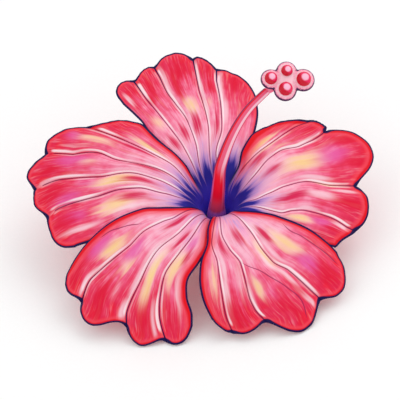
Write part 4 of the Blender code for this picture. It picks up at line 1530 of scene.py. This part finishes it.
@dataclass
class StyleHead(Assembly):
    """The end of the style: a neck and a clover of four soft pads, each with a stigma bead.

    blend: how softly the pads' outlines run together, and fullness what that adds to them.
    edge_round: how far in from the outline the cushion is rounded.
    reach_limit, reach_step: how far out, and how finely, the outline is looked for.
    neck: radii at shares of the way from the cushion down to the column's tip.
    neck_marks: the neck's inset and lightness, as the cushion's tissue reads them.
    lightness: the cushion's lightness at its outline, and its gain per millimetre inside, which paints a
    highlight on the swelling pads.
    bead_span: how far up a bead's rings run, as shares of a half turn from its middle.
    bead_highlight_at, shade_from: where on a bead the painted highlight lies, and what its
        painted shade turns away from.
    bead_highlight_span, shade_span: the angles, in radians, over which they set in.
    """

    centre: tuple = (25.0, 23.8, 39.4)
    facing: tuple = (0.05, -0.35, 0.94)
    column_end: tuple = COLUMN_END
    pads: tuple = (
        Pad("left", -5.8, 0.4, 3.5, 2.35), Pad("top", 0.0, 3.3, 3.6, 2.1),
        Pad("right", 6.1, 0.2, 4.0, 2.7), Pad("bottom", -0.5, -3.5, 4.0, 2.55),
    )
    hub_radius: float = 3.4
    blend: float = 0.45
    fullness: float = 0.15
    half_thickness: float = 1.5
    edge_round: float = 1.7
    reach_limit: float = 12.0
    reach_step: float = 0.02
    innermost: float = 0.06
    lightness: tuple = (0.34, 0.36)
    under_inset: float = 0.1
    neck_sink: float = 0.5
    neck: tuple = ((0.05, 1.9), (0.2, 1.6), (0.45, 1.5), (0.75, 1.45), (0.95, 1.42), (1.0, 1.2))
    neck_marks: tuple = (1.0, 0.4)
    spokes: int = 192
    hoops: int = 36
    bead_sides: int = 40
    bead_rings: int = 22
    bead_span: tuple = (-0.30, 0.495)
    bead_squash: float = 0.82
    bead_rise: float = 0.20
    bead_highlight_at: tuple = (0.14, 0.14, 0.97)
    bead_highlight_span: tuple = (0.20, 0.85)
    shade_from: tuple = (0.60, 0.45, 0.66)
    shade_span: tuple = (0.85, 1.45)

    def directions(self) -> np.ndarray:
        """Give the head's own directions.

        Returns:
            Its right, back and outward directions as rows.
        """
        out = np.asarray(self.facing) / np.linalg.norm(self.facing)
        right = np.array([1.0, 0.0, 0.0]) - out * out[0]
        right /= np.linalg.norm(right)
        return np.stack([right, np.cross(out, right), out])

    def depth_inside(self, x: np.ndarray, y: np.ndarray) -> np.ndarray:
        """Measure how far places lie inside the clover's outline.

        Args:
            x: Offsets to the right.
            y: Offsets to the back.

        Returns:
            Distances, below zero outside the outline.
        """
        depths = [pad.radius - np.hypot(x - pad.right, y - pad.back) for pad in self.pads]
        depths.append(self.hub_radius - np.hypot(x, y))
        total = sum(np.exp(depth / self.blend) for depth in depths)
        return self.blend * np.log(total) + self.fullness

    def build_cushion(self, material: Material) -> Object:
        """Build the clover and its neck as one piece.

        Args:
            material: The pads' tissue.

        Returns:
            The head.
        """
        right, back, out = self.directions()
        turns = 2.0 * np.pi * np.arange(self.spokes) / self.spokes
        reach = np.zeros(self.spokes)
        for trial in np.arange(1.0, self.reach_limit, self.reach_step):
            inside = self.depth_inside(trial * np.cos(turns), trial * np.sin(turns)) > 0.0
            reach = np.where(inside, trial, reach)
        shares = np.sin(0.5 * np.pi * np.linspace(self.innermost, 1.0, self.hoops))
        dark, gain = self.lightness
        points, inset, lit = [], [], []
        for side, order in ((1.0, shares), (-1.0, shares[-2::-1])):
            for share in order:
                x, y = share * reach * np.cos(turns), share * reach * np.sin(turns)
                depth = np.clip(self.depth_inside(x, y), 0.0, None)
                outward = 1.0 - np.clip(depth / self.edge_round, 0.0, 1.0)
                height = side * self.half_thickness * np.sqrt(np.clip(1.0 - outward ** 2, 0.0, 1.0))
                level = np.asarray(self.centre) + x[:, None] * right + y[:, None] * back
                points.append(level + height[:, None] * out)
                inset.append(depth + self.under_inset * (side < 0.0))
                # Lighter towards the middle of each pad: a painted highlight on the swells.
                lit.append(dark + gain * depth)
        neck = self.neck_rings()
        points += neck
        for marks, value in zip((inset, lit), self.neck_marks):
            marks.extend([np.full(self.spokes, value)] * len(neck))
        points = np.concatenate(points)
        paint = {"inset": np.concatenate(inset), "lit": np.concatenate(lit), "grain": points}
        faces = self.ring_faces(len(points) // self.spokes, self.spokes, flipped=True)
        return self.piece("style_head_cushion", points, faces, paint, material, ("style_head",), "style")

    def neck_rings(self) -> list[np.ndarray]:
        """Give the rings that carry the cushion's underside down to the column.

        Returns:
            The rings, from the cushion down.
        """
        right, back, out = self.directions()
        centre, end = np.asarray(self.centre), np.asarray(self.column_end)
        start = centre - self.half_thickness * out
        axis = (centre - end) / np.linalg.norm(centre - end)
        foot = end - axis * self.neck_sink
        turns = 2.0 * np.pi * np.arange(self.spokes) / self.spokes
        rings = []
        for share, radius in self.neck:
            place = start + (foot - start) * share
            x = right + (np.cross([0.0, 1.0, 0.0], axis) - right) * share
            y = back + (np.cross(axis, x) - back) * share
            rings.append(place + radius * (np.cos(turns)[:, None] * x + np.sin(turns)[:, None] * y))
        return rings

    def build_beads(self, material: Material) -> None:
        """Build the four stigmas: round beads that sit in the pads.

        Args:
            material: The stigmas' tissue.
        """
        axes = self.directions()
        bead_highlight_at, shade_from = (np.asarray(way) / np.linalg.norm(way)
                                for way in (self.bead_highlight_at, self.shade_from))
        turns = 2.0 * np.pi * np.arange(self.bead_sides) / self.bead_sides
        rises = np.linspace(*self.bead_span, self.bead_rings) * np.pi
        ball = np.stack([np.cos(rises)[:, None] * np.cos(turns), np.cos(rises)[:, None] * np.sin(turns),
                         np.repeat(np.sin(rises)[:, None], self.bead_sides, axis=1)], axis=-1).reshape(-1, 3)
        from_highlight, from_light = (np.arccos(np.clip(ball @ way, -1.0, 1.0)) for way in (bead_highlight_at, shade_from))
        # Painted shade on the side away from the light and a painted highlight on top.
        marks = {"shade": smooth_step(from_light, *self.shade_span),
                 "bead_highlight": 1.0 - smooth_step(from_highlight, *self.bead_highlight_span)}
        faces = self.ring_faces(self.bead_rings, self.bead_sides)
        for pad in self.pads:
            seat = pad.right * axes[0] + pad.back * axes[1] + self.half_thickness * axes[2]
            bead = pad.bead * (ball * [1.0, 1.0, self.bead_squash] + [0.0, 0.0, self.bead_rise])
            points = np.asarray(self.centre) + seat + bead @ axes
            self.piece(f"stigma_bead_{pad.name}", points, faces, {**marks, "grain": points}, material,
                       (f"stigma_{pad.name}",), "stigma")


@dataclass
class Calyx(Assembly):
    """The green cup of five pointed sepals that holds the petals' claws.

    clearance: how far it lies below the petals.
    cup, sepal_length: the length of the joined cup, and of the free sepals beyond it.
    first_ring: the share of that length at which the cup's first ring lies.
    ribs: on each sepal, offsets from its middle, widths and heights of its ribs.
    waves: how many half waves run across a sepal's back, and their height at its rim.
    faint_ribs: how much of the ribs shows inside the cup, and round its foot.
    floor, hole: the heights of the cup's floor and underside, and the radius of its hole.
    inner_floor, foot: radii and heights of the rings inside the floor and round the foot.
    brown_from, stain_to: where the sepals' brown tips set in, and where the blue that the
        throat leaves inside the cup ends.
    """

    clearance: float = 1.1
    thickness: float = 0.75
    thinning: float = 0.3
    cup: float = 9.0
    sepal_length: float = 12.5
    sepal_roundness: float = 0.85
    first: float = 60.0
    sepals: int = 5
    sepal_columns: int = 36
    rows: int = 26
    first_ring: float = 0.1
    ribs: tuple = ((0.0, 0.05, 1.0), (0.2, 0.03, 0.6))
    rib_height: float = 0.22
    waves: tuple = (6.0, 0.1)
    faint_ribs: tuple = (0.3, 0.5)
    floor: tuple = (-23.35, -24.15)
    hole: float = 2.05
    inner_floor: tuple = ((5.3, 0.0), (5.7, 0.7))
    foot: tuple = ((6.6, 1.0), (6.3, 0.55), (5.6, 0.15), (4.0, 0.0))
    brown_from: tuple = (17.0, 21.5)
    stain_to: tuple = (13.0, 17.0)
    grain_radius: float = 12.0

    def build(self, material: Material) -> Object:
        """Build the calyx.

        Args:
            material: The sepals' skin.

        Returns:
            The calyx.
        """
        columns = self.sepals * self.sepal_columns
        bearing = np.arange(columns) * 360.0 / columns + self.first
        share = np.mod(bearing - self.first, 360.0 / self.sepals) / (360.0 / self.sepals)
        reach = self.cup + self.sepal_length * (1.0 - np.abs(2.0 * share - 1.0)) ** self.sepal_roundness
        rib = sum(height * np.exp(-((np.abs(share - 0.5) - offset) / width) ** 2)
                  for offset, width, height in self.ribs)
        steps = np.linspace(self.first_ring, 1.0, self.rows)
        inner = [self.surface.points(bearing, step * reach, -self.clearance) for step in steps]
        count, height = self.waves
        wave = height * np.sin(np.pi * count * share)
        outer = []
        for step in steps[::-1]:
            bulge = self.rib_height * rib * (1.0 - step) + wave * step
            lift = -self.clearance - self.thickness + self.thinning * step - bulge
            outer.append(self.surface.points(bearing, step * reach, lift))
        circle = np.stack([np.cos(np.radians(bearing)), np.sin(np.radians(bearing)), 0.0 * bearing], axis=-1)
        top, under = self.floor
        start = [(self.hole, 0.0), *self.inner_floor]
        end = [*self.foot, (self.hole, 0.0)]
        start, end = ([radius * circle + [0.0, 0.0, level + height] for radius, height in rings]
                      for level, rings in ((top, start), (under, end)))
        rings = start + inner + outer + end
        none, walk = np.zeros(columns), [step * reach for step in steps]
        brown = [smooth_step(walked, *self.brown_from) for walked in walk]
        stain = [1.0 - smooth_step(walked, *self.stain_to) for walked in walk]
        no_start, no_end = [none] * len(start), [none] * len(end)
        inside, below = self.faint_ribs
        marks = {
            "rib": no_start + [inside * rib] * len(inner) + [rib] * len(outer) + [below * rib] * len(end),
            "tip": no_start + brown + brown[::-1] + no_end,
            "stain": [none + 1.0] * len(start) + stain + [none] * len(outer) + no_end,
        }
        paint = {name: np.concatenate(rows) for name, rows in marks.items()}
        around = self.grain_radius * np.tile(circle, (len(rings), 1))
        walked = np.concatenate(no_start + walk + walk[::-1] + no_end)
        paint["grain"] = np.stack([around[:, 0], walked, around[:, 1]], axis=-1)
        faces = self.ring_faces(len(rings), columns, capped=False)
        return self.piece("calyx_cup", np.concatenate(rings), faces, paint, material, ("calyx",), "calyx")


@dataclass
class Bracts(Assembly):
    """The ring of seven narrow green bracts below the calyx.

    route: radii and heights of a bract's middle line.
    keel: how far the rib below each bract stands out, and how narrow it is.
    sway: how far a bract leans to the side at its tip.
    brown_from: the shares of its length between which the brown tip sets in.
    """

    count: int = 7
    first: float = 12.0
    route: tuple = ((2.75, -24.75), (5.2, -24.9), (7.6, -23.6), (9.4, -20.8), (10.6, -17.4), (12.2, -13.6))
    half_widths: tuple = (0.75, 0.85, 0.95, 0.9, 0.65, 0.12)
    half_thickness: float = 0.28
    keel: tuple = (0.35, 6)
    rib_width: float = 0.25
    sway: float = 0.35
    brown_from: tuple = (0.86, 1.0)
    rings: int = 34
    sides: int = 14

    def build(self, material: Material) -> None:
        """Build the bracts.

        Args:
            material: The bracts' skin.
        """
        knots = np.linspace(0.0, 1.0, len(self.route))
        at = np.linspace(0.0, 1.0, self.rings)
        radii, heights = (smooth_curve(knots, np.asarray(self.route)[:, axis], at) for axis in (0, 1))
        widths = smooth_curve(knots, self.half_widths, at)
        thicks = np.minimum(self.half_thickness, widths)
        turns = 2.0 * np.pi * np.arange(self.sides) / self.sides
        gain, narrowness = self.keel
        keel = 1.0 + gain * np.clip(-np.sin(turns), 0.0, None) ** narrowness
        marks = {"rib": np.tile(np.exp(-(np.cos(turns) / self.rib_width) ** 2), self.rings),
                 "tip": np.repeat(smooth_step(at, *self.brown_from), self.sides)}
        faces = self.ring_faces(self.rings, self.sides)
        for number in range(self.count):
            angle = math.radians(self.first + 360.0 * number / self.count)
            outward = np.array([math.cos(angle), math.sin(angle), 0.0])
            sideways = np.array([-math.sin(angle), math.cos(angle), 0.0])
            sway = self.sway * np.sin(np.pi * at + number) * at
            route = radii[:, None] * outward + heights[:, None] * np.array([0.0, 0.0, 1.0])
            route = route + sway[:, None] * sideways
            normals = np.cross(sideways, np.gradient(route, axis=0))
            normals /= np.linalg.norm(normals, axis=1)[:, None]
            across = (widths[:, None] * np.cos(turns))[..., None] * sideways
            through = (thicks[:, None] * np.sin(turns) * keel)[..., None] * normals[:, None]
            points = (route[:, None] + across + through).reshape(-1, 3)
            self.piece(f"bract_blade_{number + 1}", points, faces, {**marks, "grain": points}, material,
                       (f"epicalyx_bract_{number + 1}",), "bract")


@dataclass
class Stalk(Assembly):
    """The stalk, cut short, with its neck through the calyx, the receptacle and the ovary.

    route, radii: the stalk's middle line, from the calyx to the cut, and its radii.
    cut: the rings of the cut end, as shares of the stalk's radius.
    flutes: how many shallow flutes there are, and their depth as a share of the radius.
    flute_sharpness, ovary_sharpness: how narrow the painted ribs are.
    neck, neck_foot: the neck's radius, and the height at which it starts, in the calyx's hole.
    receptacle: the radius, underside and top of the disc that the petals stand on.
    bevel, bevel_heights: how far the disc's edges are cut back, inwards, and then up and down.
    receptacle_middle: the radius of the ring inside which its top is closed.
    pale_from: the shares of the stalk's length between which the pale cut sets in.
    ovary_blush: the heights between which the ovary's blush sets in.
    """

    route: tuple = (
        (0.0, 0.0, -24.5), (0.0, 0.3, -25.8), (-1.0, 2.6, -27.9), (-2.6, 7.0, -29.9), (-5.0, 13.0, -31.9),
    )
    radii: tuple = (1.7, 2.25, 2.0, 1.8, 1.9)
    cut: tuple = (0.25, 0.6, 0.92)
    flutes: tuple = (9.0, 0.02)
    flute_sharpness: int = 3
    neck: float = 1.6
    neck_foot: float = -24.15
    receptacle: tuple = (4.9, -22.9, -21.6)
    bevel: float = 0.3
    bevel_heights: tuple = (0.4, 0.25)
    receptacle_middle: float = 1.0
    pale_from: tuple = (0.95, 1.0)
    grain_radius: float = 3.0
    sides: int = 48
    rings: int = 70
    ovary: OvaryShape = OvaryShape()
    ovary_ribs: tuple = (5.0, 0.05)
    ovary_sharpness: int = 8
    ovary_blush: tuple = (4.2, 5.2)
    ovary_sides: int = 40
    ovary_rings: int = 26

    def build(self, material: Material) -> Object:
        """Build the stalk with the receptacle on its end.

        Args:
            material: The stalk's skin.

        Returns:
            The stalk.
        """
        curve, walked = self.along_route(self.route, self.rings)
        at = walked / walked[-1]
        radii = smooth_curve(np.linspace(0.0, 1.0, len(self.radii)), self.radii, at)
        side_ways, back_ways = self.frames(curve)
        turns = 2.0 * np.pi * np.arange(self.sides) / self.sides
        circle_x, circle_y = np.cos(turns)[:, None], np.sin(turns)[:, None]
        count, depth = self.flutes
        flutes = 1.0 + depth * np.sin(count * turns)[:, None]
        around = [circle_x * side + circle_y * back for side, back in zip(side_ways, back_ways)]
        rings = [curve[-1] + share * radii[-1] * around[-1] for share in self.cut]
        rings += [curve[i] + radii[i] * flutes * around[i] for i in reversed(range(self.rings))]
        wide, under, top = self.receptacle
        level = np.hstack([circle_x, -circle_y, np.zeros_like(circle_x)])
        up, down = self.bevel_heights
        disc = ((self.neck, self.neck_foot), (self.neck, under), (wide - self.bevel, under),
                (wide, under + up), (wide, top - down), (wide - self.bevel, top),
                (self.receptacle_middle, top))
        rings += [radius * level + [0.0, 0.0, height] for radius, height in disc]
        pale = [*np.ones(len(self.cut)), *smooth_step(at[::-1], *self.pale_from), *np.zeros(len(disc))]
        walk = [*np.full(len(self.cut), walked[-1]), *walked[::-1], *np.full(len(disc), -1.0)]
        x_place, z_place = (self.grain_radius * np.tile(way(turns), len(rings)) for way in (np.cos, np.sin))
        paint = {
            "rib": np.tile(np.clip(np.sin(count * turns), 0.0, None) ** self.flute_sharpness, len(rings)),
            "tip": np.repeat(pale, self.sides),
            "grain": np.stack([x_place, np.repeat(walk, self.sides), z_place], axis=-1),
        }
        faces = self.ring_faces(len(rings), self.sides)
        return self.piece("pedicel_stalk", np.concatenate(rings), faces, paint, material,
                          ("pedicel",), "stalk")

    def build_ovary(self, material: Material) -> Object:
        """Build the ovary: a small ribbed seed case, hidden in the column's foot.

        Args:
            material: The ovary's skin.

        Returns:
            The ovary.
        """
        knots, radii = np.asarray(self.ovary.profile).T
        at = np.linspace(0.0, knots[-1], self.ovary_rings)
        turns = 2.0 * np.pi * np.arange(self.ovary_sides) / self.ovary_sides
        count, depth = self.ovary_ribs
        ring = smooth_curve(knots, radii, at)[:, None] * (1.0 - depth * np.cos(count * turns) ** 2)
        level = np.repeat(self.ovary.base + at, self.ovary_sides).reshape(ring.shape)
        points = np.stack([ring * np.cos(turns), ring * np.sin(turns), level], axis=-1).reshape(-1, 3)
        paint = {
            "rib": np.tile(np.cos(count * turns) ** self.ovary_sharpness, len(at)),
            "tip": np.repeat(smooth_step(at, *self.ovary_blush), self.ovary_sides),
            "grain": points,
        }
        faces = self.ring_faces(len(at), self.ovary_sides)
        return self.piece("ovary_case", points, faces, paint, material, ("ovary",), "ovary")


@dataclass(frozen=True)
class Lamp:
    """A round soft lamp: where it stands and how wide it is, in metres, and its watts."""

    name: str
    stand: tuple
    width: float
    watts: float


@dataclass(frozen=True)
class Studio:
    """A plain pale floor, soft light from all round with a gentle key, and the camera.

    target: where the camera looks, in the flower's axes.
    distance, elevation: how far away and how high over the flower's own level it stands.
    lens, sensor: its focal length and the width of its sensor.
    floor_size: the floor's width, in metres.
    card: the floor's colours, and tooth_mm the width of its grain.
    sky: the brightness of the light from all round.
    """

    target: tuple = (-6.375, -3.464, 0.0)
    distance: float = 625.0
    elevation: float = 60.0
    lens: float = 150.0
    sensor: float = 36.0
    floor_size: float = 4.0
    card: tuple = ((0.0, "#FBFBFB"), (1.0, "#FFFFFF"))
    tooth_mm: float = 1.1
    card_roughness: float = 0.9
    card_specular: float = 0.1
    sky: float = 0.86
    lamps: tuple = (Lamp("key", (0.55, 0.35, 0.95), 0.9, 2.6), Lamp("fill", (-0.7, -0.5, 0.9), 1.2, 1.2))

    def floor(self) -> None:
        """Add the floor: smooth matt card that gives the eye an even pale ground."""
        bpy.ops.mesh.primitive_grid_add(x_subdivisions=2, y_subdivisions=2, size=self.floor_size)
        floor = bpy.context.object
        floor.name = "studio_floor"
        floor.location.z = min(0.0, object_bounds()[0][2])
        material, tree, shader = Finish.start("matt_card")
        place = add(tree, "ShaderNodeTexCoord", {}).outputs["Object"]
        feeds = {"Vector": place, "Scale": 1.0 / (self.tooth_mm * MM), "Detail": 2.0}
        tooth = add(tree, "ShaderNodeTexNoise", feeds).outputs["Fac"]
        colour = add(tree, "ShaderNodeValToRGB", {0: tooth}, self.card).outputs[0]
        tree.links.new(colour, shader.inputs["Base Color"])
        shader.inputs["Roughness"].default_value = self.card_roughness
        shader.inputs["Specular IOR Level"].default_value = self.card_specular
        floor.data.materials.append(material)
        floor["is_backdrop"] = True

    def lights(self) -> None:
        """Add the sky, a broad key light from the upper right and a fill from the left."""
        world = bpy.data.worlds.new("studio_sky")
        bpy.context.scene.world = world
        world.use_nodes = True
        background = world.node_tree.nodes["Background"]
        background.inputs["Color"].default_value = (1.0, 1.0, 1.0, 1.0)
        background.inputs["Strength"].default_value = self.sky
        for lamp in self.lamps:
            data = bpy.data.lights.new(lamp.name, "AREA")
            data.shape, data.size, data.energy = "DISK", lamp.width, lamp.watts
            light = bpy.data.objects.new(lamp.name, data)
            light.location = lamp.stand
            light.rotation_euler = Vector(lamp.stand).to_track_quat("Z", "Y").to_euler()
            bpy.context.scene.collection.objects.link(light)
        bpy.context.scene.view_settings.view_transform = "Standard"

    def camera(self, place: Matrix) -> None:
        """Add the camera, which looks at the flower from above its front.

        Args:
            place: The move from the flower's axes into the frame.
        """
        rise = math.radians(self.elevation)
        away = Vector((0.0, -math.cos(rise), math.sin(rise))) * self.distance
        stand = Matrix.Translation((Vector(self.target) + away) * MM)
        data = bpy.data.cameras.new("camera")
        data.lens, data.sensor_width = self.lens, self.sensor
        camera = bpy.data.objects.new("camera", data)
        bpy.context.scene.collection.objects.link(camera)
        camera.matrix_world = place @ stand @ Matrix.Rotation(0.5 * math.pi - rise, 4, "X")
        bpy.context.scene.camera = camera


def main() -> None:
    """Build every sub-assembly in order, then the studio."""
    logging.basicConfig(level=logging.INFO, format="%(name)s: %(message)s")
    surface = BloomSurface()
    place = Placing().matrix()
    petal_tissue = PetalTissue().material()
    for number, plan in enumerate(PETALS):
        Petal(surface, place, plan, seed=number + 1.0).build(petal_tissue)
    Column(surface, place).build(TubeTissue().material())
    head = StyleHead(surface, place)
    head.build_cushion(CushionTissue().material())
    head.build_beads(StigmaGloss().material())
    Calyx(surface, place).build(SEPAL_SKIN.material())
    Bracts(surface, place).build(BRACT_SKIN.material())
    stalk = Stalk(surface, place)
    stalk.build(STALK_SKIN.material())
    stalk.build_ovary(OVARY_SKIN.material())
    studio = Studio()
    studio.floor()
    studio.lights()
    studio.camera(place)


if __name__ == "__main__":
    main()
